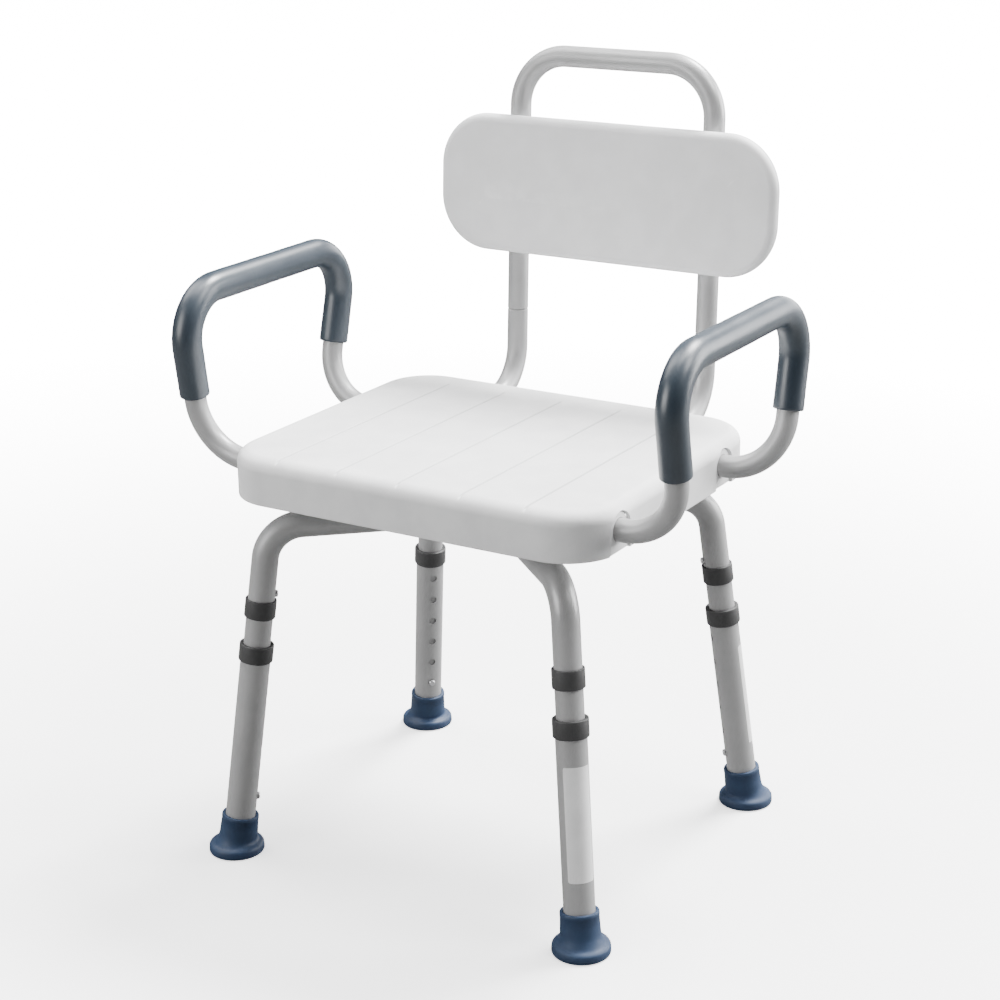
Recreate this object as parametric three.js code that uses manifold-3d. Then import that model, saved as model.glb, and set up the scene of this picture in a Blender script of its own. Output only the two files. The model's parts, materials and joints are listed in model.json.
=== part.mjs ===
// Swivelling bath chair: a moulded seat with arms and a back that turns on four splayed, extending legs.
// Millimetres, +Z up. The sitter faces -Y, and the seat turns about a vertical axis through the base.
import * as THREE from "three";
import { mergeVertices } from "three/addons/utils/BufferGeometryUtils.js";
import Module from "manifold-3d";

const wasm = await Module();
wasm.setup();

// ---- driving dimensions ----
const gap = 0.3; // clearance between pieces that touch
const tubeGap = 0.05; // clearance round a tube, at the flats of the bore it fits in

// seat shell
const seatWidth = 394;
const seatDepth = 330;
const seatHeight = 402; // top of the seat at the lowest leg setting
const seatSkirt = 40;
const seatWall = 4;
const seatCorner = 52;
const seatRim = 13;
const grooveCount = 5;
const groovePitch = 65;
const grooveRadius = 6;
const grooveSink = 1.6;
const grooveLength = 288;
const ribThickness = 3;
const ribDepth = 14;
const ribPitch = 40;
const ribHalfWidth = 185;
const ribHalfDepth = 150;
const crossRibs = [-140, -60, 0, 50]; // Y of each rib that runs across
const bossRadius = 9;
const bossSpread = 58;

// tubes and the sockets that hold them in the seat
const frameTube = 21; // outer diameter of the arm and back tubes
const frameWall = 1.5;
const socketDrop = 24; // from the top of the seat down to the tubes where they enter it
const socketWall = 5.2;
const socketLength = 64;
const socketInset = 2.5; // how far a socket's mouth stands back from the skirt
const socketWeb = 3; // thickness of the web from a socket up to the deck
const notchGap = 1.3; // round a socket in its notch

// arms
const armReach = 58; // from the seat's side to the tube's centre line at the bottom bend
const armTopReach = 54;
const armFrontY = -110;
const armRearY = 91;
const armTopFrontY = -148;
const armTopRearY = 149;
const armRise = 156.5; // from where the arm enters the seat to its top run
const armLowBend = 53;
const armTopBend = 44;
const gripRise = 58.5; // from where the arm enters the seat to the grip's lower ends
const gripThickness = 3.4;

// back
const backSpread = 107.5; // half the distance between the uprights
const backY = 227; // upright's centre line at socket height
const backRecline = 2.75; // degrees
const backLowBend = 48;
const backTopBend = 50.5;
const backJoint = 83.5; // along the upright, from socket height
const backTop = 342;
const spigotLength = 34;
const panelHalfWidth = 186.5;
const panelHeight = 138;
const panelThickness = 16.5;
const panelCorner = 54;
const panelEdge = 8; // radius of the rounded front and rear edges
const panelCentre = 214; // along the upright
const saddleLength = 92;
const saddleWall = 3.2;
const saddleFlange = 11;

// base
const legTube = 25.4;
const legWall = 1.2;
const outerWall = 1.2;
const slideGap = 0.4; // between the two tubes of a leg
const outerTube = legTube + 2 * (slideGap + outerWall);
const footRadius = 255.7; // from the swivel axis to a foot's centre
const legSplay = 7.8; // degrees from upright
const legHeading = 41.6; // degrees from the X axis to a front or rear leg's plane
const archDrop = 73; // from the top of the seat down to the leg tubes under it
const archBend = 36;
const archInnerEnd = 34; // from the swivel axis

// leg joints, measured along a leg's centre line from the floor
const footFlangeRadius = 26.7;
const footFlangeHeight = 11;
const footShoulder = 17;
const footSleeveWall = 3;
const footSleeveTop = 38.5;
const footPad = 8.5;
const lowestHole = 57.5;
const holePitch = 25.4;
const holeMargin = 5; // between the top hole and the collar
const outerDrop = 43.5; // from the joint down to the outer tube's top
const outerCollarGrip = 9.5; // how far the collar reaches down over the outer tube
const outerCollarLip = 7.5; // and up over the inner tube
const outerCollarWall = 1.7;
const innerBottom = 42;
const kneeLength = 80.5; // from the joint up to the corner of the bend
const jointCollarLength = 18;
const jointCollarWall = 1.8;
const jointButtonRise = 14.5;

// swivel
const plateSize = 150;
const plateThickness = 3;
const plateCorner = 16;
const raceOuter = 58;
const raceInner = 40;
const raceThickness = 2.5;
const ballRingHeight = 3;
const ballOuter = 53;
const ballInner = 45;
const pivotRadius = 5;
const pivotHeadRadius = 9;
const pivotHeadHeight = 6;
const nutHeight = 7;

// snap buttons
const buttonRadius = 3.4;
const buttonProud = 2.6;
const holeClearance = 0.4;
const leafThickness = 1;
const leafWidth = 7;
const leafLength = 26;

// facets
const tubeSides = 12;
const boreSides = 8; // for bores that nothing fits into
const turnedSides = 16;
const boreRound = (radius) => (radius + tubeGap) / Math.cos(Math.PI / tubeSides);
const archSides = 6;
const pinSides = 8;
const bendSteps = 4;

// ---- heights that follow from the sizes above ----
const splay = THREE.MathUtils.degToRad(legSplay);
const heading = THREE.MathUtils.degToRad(legHeading);
const socketZ = seatHeight - socketDrop;
const armTopZ = socketZ + armRise;
const gripEndZ = socketZ + gripRise;
const archZ = seatHeight - archDrop;
const jointAt = archZ / Math.cos(splay) - kneeLength;
const jointButton = jointAt + jointButtonRise;
const outerTop = jointAt - outerDrop;
const outerCollarBottom = outerTop - outerCollarGrip;
const outerCollarTop = outerTop + outerCollarLip;
const buttonHole = buttonRadius + holeClearance;
const holeSpan = outerCollarBottom - holeMargin - buttonHole - lowestHole;
const holeCount = 1 + Math.floor(holeSpan / holePitch);

// ---- materials ----
function plain(color, roughness, metalness = 0) {
  return new THREE.MeshStandardMaterial({ color, roughness, metalness });
}
const materials = {
  seatPlastic: plain(0xebebeb, 0.5),
  backPlastic: plain(0xd8d8d8, 0.5),
  tubeMetal: plain(0xb4b4b6, 0.35, 0.9),
  gripFoam: plain(0x4a545f, 0.85),
  collarPlastic: plain(0x3c3c3c, 0.5),
  footRubber: plain(0x2c3c55, 0.7),
  springSteel: plain(0x9a9a9a, 0.3, 0.9),
};

// ---- solids ----
function solid(geometry) {
  const bare = geometry.index ? geometry.toNonIndexed() : geometry.clone();
  for (const name of Object.keys(bare.attributes)) {
    if (name !== "position") bare.deleteAttribute(name);
  }
  const merged = mergeVertices(bare, 1e-3);
  return new wasm.Manifold(
    new wasm.Mesh({
      numProp: 3,
      vertProperties: merged.attributes.position.array,
      triVerts: new Uint32Array(merged.index.array),
    }),
  );
}

function geometryOf(body) {
  const { numProp, vertProperties, triVerts } = body.getMesh();
  const positions = new Float32Array((vertProperties.length / numProp) * 3);
  for (let i = 0; i * 3 < positions.length; i++) {
    positions.set(vertProperties.subarray(i * numProp, i * numProp + 3), i * 3);
  }
  return new THREE.BufferGeometry()
    .setAttribute("position", new THREE.BufferAttribute(positions, 3))
    .setIndex(new THREE.BufferAttribute(triVerts, 1));
}

function join(first, ...others) {
  return geometryOf(others.reduce((sum, g) => sum.add(solid(g)), solid(first)));
}

function cut(first, ...others) {
  return geometryOf(others.reduce((rest, g) => rest.subtract(solid(g)), solid(first)));
}

function box(x0, x1, y0, y1, z0, z1) {
  const g = new THREE.BoxGeometry(x1 - x0, y1 - y0, z1 - z0);
  return g.translate((x0 + x1) / 2, (y0 + y1) / 2, (z0 + z1) / 2);
}

// A round bar from start, along a direction given as a vector.
function rod(start, direction, length, radius, sides = tubeSides) {
  const g = new THREE.CylinderGeometry(radius, radius, length, sides);
  const up = new THREE.Vector3(0, 1, 0);
  const along = direction.clone().normalize();
  g.translate(0, length / 2, 0);
  g.applyQuaternion(new THREE.Quaternion().setFromUnitVectors(up, along));
  return g.translate(start.x, start.y, start.z);
}

// A turned piece about Z, from [radius, z] points that close on themselves.
function turned(points, sides = turnedSides) {
  const closed = [...points, points[0]];
  const g = new THREE.LatheGeometry(closed.map(([r, z]) => new THREE.Vector2(r, z)), sides);
  return g.rotateX(Math.PI / 2);
}

function ring(inner, outer, z0, z1, sides) {
  return turned([[inner, z1], [inner, z0], [outer, z0], [outer, z1]], sides);
}

function roundedRectangle(width, depth, corner) {
  const shape = new THREE.Shape();
  const x = width / 2 - corner;
  const y = depth / 2 - corner;
  shape.absarc(x, y, corner, 0, Math.PI / 2);
  shape.absarc(-x, y, corner, Math.PI / 2, Math.PI);
  shape.absarc(-x, -y, corner, Math.PI, 1.5 * Math.PI);
  shape.absarc(x, -y, corner, 1.5 * Math.PI, 2 * Math.PI);
  return shape;
}

// A slab with a rounded upper edge, its underside at z0 and its top at z1.
function slab(width, depth, corner, rim, z0, z1) {
  const g = new THREE.ExtrudeGeometry(roundedRectangle(width, depth, corner), {
    depth: z1 - z0,
    bevelEnabled: true,
    bevelSize: rim,
    bevelOffset: -rim,
    bevelThickness: rim,
    bevelSegments: 3,
    curveSegments: 5,
  });
  g.translate(0, 0, z0 - rim);
  const half = width + depth;
  return cut(g, box(-half, half, -half, half, z0 - 3 * rim, z0));
}

// A centre line of straight runs joined by arcs, with a station at every arc step.
class BentLine extends THREE.Curve {
  constructor(corners, radii) {
    super();
    this.stations = [];
    const last = corners.length - 1;
    this.addStation(corners[0], corners[1].clone().sub(corners[0]));
    for (let i = 1; i < last; i++) {
      this.addBend(corners[i - 1], corners[i], corners[i + 1], radii[i - 1]);
    }
    this.addStation(corners[last], corners[last].clone().sub(corners[last - 1]));
  }

  addStation(point, tangent) {
    this.stations.push({ point: point.clone(), tangent: tangent.clone().normalize() });
  }

  addBend(before, corner, after, radius) {
    const incoming = corner.clone().sub(before).normalize();
    const outgoing = after.clone().sub(corner).normalize();
    const turn = incoming.angleTo(outgoing);
    const start = corner.clone().addScaledVector(incoming, -radius * Math.tan(turn / 2));
    const axis = incoming.clone().cross(outgoing).normalize();
    const centre = start.clone().addScaledVector(axis.clone().cross(incoming), radius);
    for (let i = 0; i <= bendSteps; i++) {
      const angle = (turn * i) / bendSteps;
      const arm = start.clone().sub(centre).applyAxisAngle(axis, angle);
      this.addStation(centre.clone().add(arm), incoming.clone().applyAxisAngle(axis, angle));
    }
  }

  between(u) {
    const place = u * (this.stations.length - 1);
    const index = Math.min(Math.floor(place + 1e-6), this.stations.length - 2);
    return [this.stations[index], this.stations[index + 1], place - index];
  }

  getPoint(u, target = new THREE.Vector3()) {
    const [from, to, share] = this.between(u);
    return target.lerpVectors(from.point, to.point, share);
  }

  getPointAt(u, target) {
    return this.getPoint(u, target);
  }

  getTangentAt(u, target = new THREE.Vector3()) {
    const [from, to, share] = this.between(u);
    return target.lerpVectors(from.tangent, to.tangent, share).normalize();
  }
}

function tube(corners, radii, outer, inner, sides = tubeSides) {
  const section = new THREE.Shape().absarc(0, 0, outer, 0, 2 * Math.PI);
  const rim = Array.from({ length: sides }, (_, i) => {
    const angle = (-2 * Math.PI * i) / sides;
    return new THREE.Vector2(inner * Math.cos(angle), inner * Math.sin(angle));
  });
  section.holes.push(new THREE.Path(rim).closePath());
  const line = new BentLine(corners, radii);
  return new THREE.ExtrudeGeometry(section, {
    steps: line.stations.length - 1,
    extrudePath: line,
    curveSegments: tubeSides / 2,
  });
}

const v = (x, y, z) => new THREE.Vector3(x, y, z);

// ---- scene graph ----
const chair = new THREE.Group();
const base = new THREE.Group();
const top = new THREE.Group();
chair.add(base, top);

function add(parent, name, geometry, material) {
  const mesh = new THREE.Mesh(geometry, material);
  mesh.name = name;
  parent.add(mesh);
  return mesh;
}

// A leaf spring folded back on itself inside a tube that runs along Z, with a button towards -X.
function snapClip(z, bore, proud) {
  const near = -bore + leafThickness + gap;
  const far = bore - leafThickness - 1;
  const outline = new THREE.Shape();
  outline.moveTo(near, z - leafLength / 4);
  outline.lineTo(near, z + leafLength);
  outline.lineTo(far, z + leafLength);
  outline.lineTo(far, z);
  outline.lineTo(far - leafThickness, z);
  outline.lineTo(far - leafThickness, z + leafLength - leafThickness);
  outline.lineTo(near + leafThickness, z + leafLength - leafThickness);
  outline.lineTo(near + leafThickness, z - leafLength / 4);
  const leaf = new THREE.ExtrudeGeometry(outline, { depth: leafWidth, bevelEnabled: false });
  leaf.rotateX(Math.PI / 2);
  leaf.translate(0, leafWidth / 2, 0);
  const reach = proud + near;
  const root = v(near + leafThickness / 2, 0, z);
  const stem = rod(root, v(-1, 0, 0), reach + leafThickness / 2 - 1, buttonRadius, pinSides);
  const crown = new THREE.CylinderGeometry(buttonRadius - 1, buttonRadius, 1, pinSides);
  crown.rotateZ(Math.PI / 2);
  crown.translate(-proud + 0.5, 0, z);
  return join(leaf, stem, crown);
}

// ---- swivel ----
const lowerPlateZ = archZ + legTube / 2 + gap;
const lowerRaceZ = lowerPlateZ + plateThickness + gap;
const ballRingZ = lowerRaceZ + raceThickness + gap;
const upperRaceZ = ballRingZ + ballRingHeight + gap;
const upperPlateZ = upperRaceZ + raceThickness + gap;
const upperPlateTop = upperPlateZ + plateThickness;

function swivelPlate(z) {
  const g = new THREE.ExtrudeGeometry(roundedRectangle(plateSize, plateSize, plateCorner), {
    depth: plateThickness,
    bevelEnabled: false,
    curveSegments: 4,
  });
  g.translate(0, 0, z);
  const bore = pivotRadius + holeClearance;
  return cut(g, rod(v(0, 0, z - 1), v(0, 0, 1), plateThickness + 2, bore));
}

function addSwivel() {
  const { tubeMetal, springSteel, collarPlastic } = materials;
  add(base, "lower_swivel_plate", swivelPlate(lowerPlateZ), tubeMetal);
  const race = (z) => ring(raceInner, raceOuter, z, z + raceThickness);
  const balls = ring(ballInner, ballOuter, ballRingZ, ballRingZ + ballRingHeight);
  add(base, "lower_bearing_race", race(lowerRaceZ), springSteel);
  add(base, "ball_ring", balls, collarPlastic);
  add(top, "upper_bearing_race", race(upperRaceZ), springSteel);
  add(top, "upper_swivel_plate", swivelPlate(upperPlateZ), tubeMetal);
  const headZ = lowerPlateZ - gap - pivotHeadHeight;
  const nutZ = upperPlateTop + gap;
  const shankTop = nutZ + nutHeight + 3;
  const bolt = join(
    rod(v(0, 0, headZ), v(0, 0, 1), pivotHeadHeight, pivotHeadRadius, 6),
    rod(v(0, 0, headZ + 1), v(0, 0, 1), shankTop - headZ - 1, pivotRadius),
  );
  add(base, "pivot_bolt", bolt, springSteel);
  const nut = cut(
    rod(v(0, 0, nutZ), v(0, 0, 1), nutHeight, pivotHeadRadius, 6),
    rod(v(0, 0, nutZ - 1), v(0, 0, 1), nutHeight + 2, pivotRadius + gap),
  );
  add(base, "pivot_nut", nut, springSteel);
}

// ---- legs ----
// A leg is drawn in its own vertical plane: +X away from the swivel axis, Z up.
const corners = [
  ["front_left", Math.PI + heading],
  ["front_right", -heading],
  ["back_right", heading],
  ["back_left", Math.PI - heading],
];

const tubeAlongLeg = (outer, inner, from, to) => tube([v(0, 0, from), v(0, 0, to)], [], outer, inner);
const buttonBore = (z, reach) => rod(v(0, 0, z), v(-1, 0, 0), reach, buttonHole, pinSides);

function upperLegTube() {
  const foot = v(footRadius, 0, 0);
  const lean = v(-Math.sin(splay), 0, Math.cos(splay));
  const knee = foot.clone().addScaledVector(lean, archZ / Math.cos(splay));
  const end = foot.clone().addScaledVector(lean, jointAt + gap);
  const corner = [v(archInnerEnd, 0, archZ), knee, end];
  const pipe = tube(corner, [archBend], legTube / 2, legTube / 2 - legWall);
  const hole = foot.clone().addScaledVector(lean, jointButton);
  return cut(pipe, rod(hole, v(-Math.cos(splay), 0, -Math.sin(splay)), legTube, buttonHole, pinSides));
}

function innerLegTube() {
  const spigot = legTube / 2 - legWall - gap;
  const bore = spigot - legWall;
  const pipe = join(
    tubeAlongLeg(legTube / 2, bore, innerBottom, jointAt),
    tubeAlongLeg(spigot, bore, jointAt - 1, jointAt + spigotLength),
  );
  return cut(pipe, buttonBore(lowestHole, legTube), buttonBore(jointButton, legTube));
}

function outerLegTube() {
  const heights = Array.from({ length: holeCount }, (_, i) => lowestHole + i * holePitch);
  const holes = heights.map((z) => buttonBore(z, outerTube));
  return cut(tubeAlongLeg(outerTube / 2, outerTube / 2 - outerWall, footPad + gap, outerTop), ...holes);
}

function outerCollar() {
  const lip = legTube / 2 + gap;
  const seat = outerTube / 2 + gap;
  const step = outerTop + gap;
  const r = seat + outerCollarWall;
  return turned([
    [seat, step], [seat, outerCollarBottom], [r - 0.8, outerCollarBottom], [r, outerCollarBottom + 0.8],
    [r, outerCollarTop - 1.5], [r - 1.5, outerCollarTop], [lip, outerCollarTop], [lip, step],
  ]);
}

function jointCollar() {
  const low = jointAt - jointCollarLength / 2;
  const high = jointAt + jointCollarLength / 2;
  const bore = legTube / 2 + gap;
  const r = bore + jointCollarWall;
  return turned([[bore, high], [bore, low], [r - 1, low], [r, low + 1], [r, high - 1], [r - 1, high]]);
}

// The flange stands flat on the floor, and the sleeve above it leans with the leg.
function foot() {
  const r = footFlangeRadius;
  const sleeve = outerTube / 2 + gap + footSleeveWall;
  const flange = turned([
    [0, 0], [r - 1.5, 0], [r, 1.5], [r, footFlangeHeight - 2], [r - 2, footFlangeHeight],
    [sleeve + 2, footShoulder - 1.5], [sleeve, footShoulder], [0, footShoulder],
  ]);
  const barrel = turned([
    [0, footPad - 4], [sleeve, footPad - 4], [sleeve, footSleeveTop - 1.5], [sleeve - 1.5, footSleeveTop],
    [0, footSleeveTop],
  ]);
  barrel.rotateY(-splay);
  const socket = rod(v(0, 0, footPad), v(0, 0, 1), footSleeveTop, outerTube / 2 + gap);
  socket.rotateY(-splay);
  return cut(join(flange, barrel), socket);
}

function addLeg(name, angle) {
  const plane = new THREE.Group();
  plane.rotation.z = angle;
  base.add(plane);
  add(plane, "upper_leg_tube_" + name, upperLegTube(), materials.tubeMetal);
  const footPlace = new THREE.Group();
  footPlace.position.x = footRadius;
  plane.add(footPlace);
  const leg = new THREE.Group();
  leg.rotation.y = -splay;
  footPlace.add(leg);
  add(leg, "joint_collar_" + name, jointCollar(), materials.collarPlastic);
  add(leg, "inner_leg_tube_" + name, innerLegTube(), materials.tubeMetal);
  add(leg, "outer_leg_tube_" + name, outerLegTube(), materials.tubeMetal);
  add(leg, "outer_leg_collar_" + name, outerCollar(), materials.collarPlastic);
  add(footPlace, "foot_" + name, foot(), materials.footRubber);
  const bore = legTube / 2 - 2 * legWall - gap;
  const heightClip = snapClip(lowestHole, bore, outerTube / 2 + buttonProud);
  const jointClip = snapClip(jointButton, bore, legTube / 2 + buttonProud);
  add(leg, "height_clip_" + name, heightClip, materials.springSteel);
  add(leg, "joint_clip_" + name, jointClip, materials.springSteel);
}

// ---- seat ----
const seatBottom = seatHeight - seatSkirt;
const deckUnderside = seatHeight - seatWall;
const socketHalf = frameTube / 2 + socketWall;
const socketCrown = socketHalf + notchGap; // radius of the arched notch in the skirt

// An arch lying along X from x0 to x1: upright sides below the tube's centre line, half round above.
function arch(x0, x1, half, bottom) {
  const outline = new THREE.Shape();
  outline.moveTo(-half, bottom - socketZ);
  outline.lineTo(half, bottom - socketZ);
  outline.absarc(0, 0, half, 0, Math.PI);
  const g = new THREE.ExtrudeGeometry(outline, {
    depth: x1 - x0,
    bevelEnabled: false,
    curveSegments: archSides,
  });
  g.rotateX(Math.PI / 2);
  g.rotateZ(Math.PI / 2);
  return g.translate(x0, 0, socketZ);
}

// The six tube entries: where the tube crosses the skirt, and the heading it leaves in.
const sideEntries = [-1, 1].flatMap((side) =>
  [armFrontY, armRearY].map((y) => ({ side, x: seatWidth / 2, across: y, turn: side > 0 ? 0 : Math.PI })),
);
const rearEntries = [-1, 1].map((side) => ({
  side,
  x: seatDepth / 2,
  across: side * backSpread,
  turn: Math.PI / 2,
}));

function atEntry(geometry, entry) {
  geometry.rotateZ(entry.turn);
  const across = entry.turn === Math.PI / 2 ? v(entry.across, 0, 0) : v(0, entry.across, 0);
  return geometry.translate(across.x, across.y, 0);
}

function seatShell() {
  const inner = slab(
    seatWidth - 2 * seatWall,
    seatDepth - 2 * seatWall,
    seatCorner - seatWall,
    seatRim - seatWall,
    seatBottom - 1,
    deckUnderside,
  );
  const shell = cut(slab(seatWidth, seatDepth, seatCorner, seatRim, seatBottom, seatHeight), inner);
  const grooves = Array.from({ length: grooveCount }, (_, i) => {
    const x = (i - (grooveCount - 1) / 2) * groovePitch;
    const start = v(x, -seatDepth / 2 + seatRim, seatHeight + grooveRadius - grooveSink);
    return rod(start, v(0, 1, 0), grooveLength, grooveRadius, 16);
  });
  const notches = [...sideEntries, ...rearEntries].map((entry) =>
    atEntry(arch(entry.x - seatWall - seatRim, entry.x + 5, socketCrown, seatBottom - 2), entry),
  );
  const ribZ = deckUnderside - ribDepth;
  const half = ribThickness / 2;
  const along = [-2, -1, 0, 1, 2].map((i) => {
    const x = i * ribPitch;
    return box(x - half, x + half, -ribHalfDepth, ribHalfDepth, ribZ, deckUnderside + 1);
  });
  const across = crossRibs.map((y) =>
    box(-ribHalfWidth, ribHalfWidth, y - half, y + half, ribZ, deckUnderside + 1),
  );
  const bosses = [-1, 1].flatMap((sx) =>
    [-1, 1].map((sy) => {
      const foot = v(sx * bossSpread, sy * bossSpread, upperPlateTop + gap);
      return rod(foot, v(0, 0, 1), deckUnderside + 1 - foot.z, bossRadius, 10);
    }),
  );
  return join(cut(shell, ...grooves, ...notches), ...along, ...across, ...bosses);
}

function tubeSocket(entry) {
  const mouth = entry.x - socketInset;
  const body = arch(mouth - socketLength, mouth, socketHalf, seatBottom + 0.5);
  const web = box(
    mouth - socketLength,
    entry.x - seatRim,
    -socketWeb / 2,
    socketWeb / 2,
    socketZ + socketHalf - 1,
    deckUnderside - gap,
  );
  const start = v(mouth - socketLength - 1, 0, socketZ);
  const bore = rod(start, v(1, 0, 0), socketLength + 2, boreRound(frameTube / 2));
  return atEntry(cut(join(body, web), bore), entry);
}

function addSeat() {
  add(top, "seat_shell", seatShell(), materials.seatPlastic);
  for (const entry of sideEntries) {
    const place = (entry.across < 0 ? "front_" : "rear_") + (entry.side < 0 ? "left" : "right");
    add(top, "arm_socket_" + place, tubeSocket(entry), materials.seatPlastic);
  }
  for (const entry of rearEntries) {
    add(top, "back_socket_" + (entry.side < 0 ? "left" : "right"), tubeSocket(entry), materials.seatPlastic);
  }
}

// ---- arms ----
function addArm(name, side) {
  const inner = side * (seatWidth / 2 - socketLength);
  const low = side * (seatWidth / 2 + armReach);
  const high = side * (seatWidth / 2 + armTopReach);
  const frontLow = v(low, armFrontY, socketZ);
  const frontHigh = v(high, armTopFrontY, armTopZ);
  const rearHigh = v(high, armTopRearY, armTopZ);
  const rearLow = v(low, armRearY, socketZ);
  const frontEnd = v(inner, armFrontY, socketZ);
  const rearEnd = v(inner, armRearY, socketZ);
  const route = [frontEnd, frontLow, frontHigh, rearHigh, rearLow, rearEnd];
  const bends = [armLowBend, armTopBend, armTopBend, armLowBend];
  const outer = frameTube / 2;
  const pipe = tube(route, bends, outer, outer - frameWall, boreSides);
  add(top, "arm_tube_" + name, pipe, materials.tubeMetal);
  const share = (gripEndZ - socketZ) / (armTopZ - socketZ);
  const gripRoute = [
    frontLow.clone().lerp(frontHigh, share),
    frontHigh,
    rearHigh,
    rearLow.clone().lerp(rearHigh, share),
  ];
  const bore = boreRound(outer);
  const grip = tube(gripRoute, [armTopBend, armTopBend], bore + gripThickness, bore);
  add(top, "arm_grip_" + name, grip, materials.gripFoam);
}

// ---- back ----
const recline = THREE.MathUtils.degToRad(backRecline);
const backUp = v(0, Math.sin(recline), Math.cos(recline));
const upright = (side, along) => v(side * backSpread, backY, socketZ).addScaledVector(backUp, along);
const backButton = backJoint + spigotLength / 2;
const backward = v(0, Math.cos(recline), -Math.sin(recline));

// Moves a piece drawn with Z along the upright and +Y behind it onto the back's plane.
function onBack(geometry, x = 0) {
  geometry.rotateX(-recline);
  return geometry.translate(x, backY, socketZ);
}

function backLowerTube(side) {
  const outer = frameTube / 2;
  const spigot = outer - frameWall - gap;
  const start = v(side * backSpread, seatDepth / 2 - socketLength, socketZ);
  const bore = spigot - frameWall;
  const joint = upright(side, backJoint);
  const pipe = join(
    tube([start, upright(side, 0), joint], [backLowBend], outer, bore),
    tube([upright(side, backJoint - 1), upright(side, backJoint + spigotLength)], [], spigot, bore),
  );
  return cut(pipe, rod(upright(side, backButton), backward, frameTube, buttonHole, pinSides));
}

function backHandle() {
  const end = backJoint + gap;
  const route = [upright(-1, end), upright(-1, backTop), upright(1, backTop), upright(1, end)];
  const outer = frameTube / 2;
  const pipe = tube(route, [backTopBend, backTopBend], outer, outer - frameWall);
  const holes = [-1, 1].map((side) =>
    rod(upright(side, backButton), backward, frameTube, buttonHole, pinSides),
  );
  return cut(pipe, ...holes);
}

function backPanel() {
  const g = new THREE.ExtrudeGeometry(roundedRectangle(2 * panelHalfWidth, panelHeight, panelCorner), {
    depth: panelThickness - 2 * panelEdge,
    bevelEnabled: true,
    bevelSize: panelEdge,
    bevelOffset: -panelEdge,
    bevelThickness: panelEdge,
    bevelSegments: 3,
    curveSegments: 6,
  });
  g.rotateX(Math.PI / 2);
  g.translate(0, -frameTube / 2 - gap - panelEdge, panelCentre);
  return onBack(g);
}

// A saddle that wraps the upright from behind and is fastened to the panel by its two flanges.
function panelSaddle(side) {
  const face = -frameTube / 2 - gap + 0.2;
  const inner = frameTube / 2 + gap;
  const outer = inner + saddleWall;
  const flange = face + saddleWall;
  const outline = new THREE.Shape();
  outline.moveTo(inner, face);
  outline.lineTo(outer + saddleFlange, face);
  outline.lineTo(outer + saddleFlange, flange);
  outline.lineTo(outer, flange);
  outline.lineTo(outer, 0);
  outline.absarc(0, 0, outer, 0, Math.PI);
  outline.lineTo(-outer, flange);
  outline.lineTo(-outer - saddleFlange, flange);
  outline.lineTo(-outer - saddleFlange, face);
  outline.lineTo(-inner, face);
  outline.lineTo(-inner, 0);
  outline.absarc(0, 0, inner, Math.PI, 0, true);
  const g = new THREE.ExtrudeGeometry(outline, {
    depth: saddleLength,
    bevelEnabled: false,
    curveSegments: turnedSides / 2,
  });
  g.translate(0, 0, panelCentre - saddleLength / 2);
  return onBack(g, side * backSpread);
}

function backClip(side) {
  const bore = frameTube / 2 - 2 * frameWall - gap;
  const clip = snapClip(0, bore, frameTube / 2 + buttonProud);
  clip.rotateZ(-Math.PI / 2);
  clip.translate(0, 0, backButton);
  return onBack(clip, side * backSpread);
}

function addBack() {
  for (const [name, side] of [["left", -1], ["right", 1]]) {
    add(top, "back_lower_tube_" + name, backLowerTube(side), materials.tubeMetal);
    add(top, "back_panel_saddle_" + name, panelSaddle(side), materials.backPlastic);
    add(top, "back_clip_" + name, backClip(side), materials.springSteel);
  }
  add(top, "back_handle_tube", backHandle(), materials.tubeMetal);
  add(top, "back_panel", backPanel(), materials.backPlastic);
}

addSwivel();
for (const [name, angle] of corners) addLeg(name, angle);
addSeat();
addArm("left", -1);
addArm("right", 1);
addBack();

// The origin is on the floor, under the middle of the whole chair.
const extent = new THREE.Box3().setFromObject(chair, true);
const middle = extent.getCenter(new THREE.Vector3());
chair.position.set(-middle.x, -middle.y, -extent.min.z);

export default chair;
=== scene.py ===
import json
import math

import bmesh
import bpy
from mathutils import Matrix, Vector, geometry


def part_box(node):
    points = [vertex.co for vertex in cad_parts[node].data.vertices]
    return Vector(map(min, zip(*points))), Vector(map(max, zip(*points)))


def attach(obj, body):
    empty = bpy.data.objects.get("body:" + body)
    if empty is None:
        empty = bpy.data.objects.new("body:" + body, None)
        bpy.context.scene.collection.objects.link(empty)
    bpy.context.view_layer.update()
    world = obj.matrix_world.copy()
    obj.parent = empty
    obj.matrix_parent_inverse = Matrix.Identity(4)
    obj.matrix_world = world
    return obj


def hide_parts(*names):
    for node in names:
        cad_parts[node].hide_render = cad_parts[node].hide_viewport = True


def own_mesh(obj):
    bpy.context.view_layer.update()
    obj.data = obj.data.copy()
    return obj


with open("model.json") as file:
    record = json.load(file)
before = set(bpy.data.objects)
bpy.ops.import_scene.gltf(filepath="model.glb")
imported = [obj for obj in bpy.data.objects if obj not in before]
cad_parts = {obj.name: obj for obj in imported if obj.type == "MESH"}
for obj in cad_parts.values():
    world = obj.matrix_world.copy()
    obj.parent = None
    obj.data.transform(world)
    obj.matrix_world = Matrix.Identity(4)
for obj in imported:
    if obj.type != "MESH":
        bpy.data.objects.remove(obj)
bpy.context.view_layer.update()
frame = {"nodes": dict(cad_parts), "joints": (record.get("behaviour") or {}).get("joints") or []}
print("frame loaded:", len(frame["nodes"]), "nodes")

mm = 0.001
up = Vector((0, 0, 1))


# shapes

def middle(node):
    low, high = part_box(node)
    return (low + high) / 2


def titled(name):
    # front_left becomes FrontLeft
    return name.replace("_", " ").title().replace(" ", "")


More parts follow.
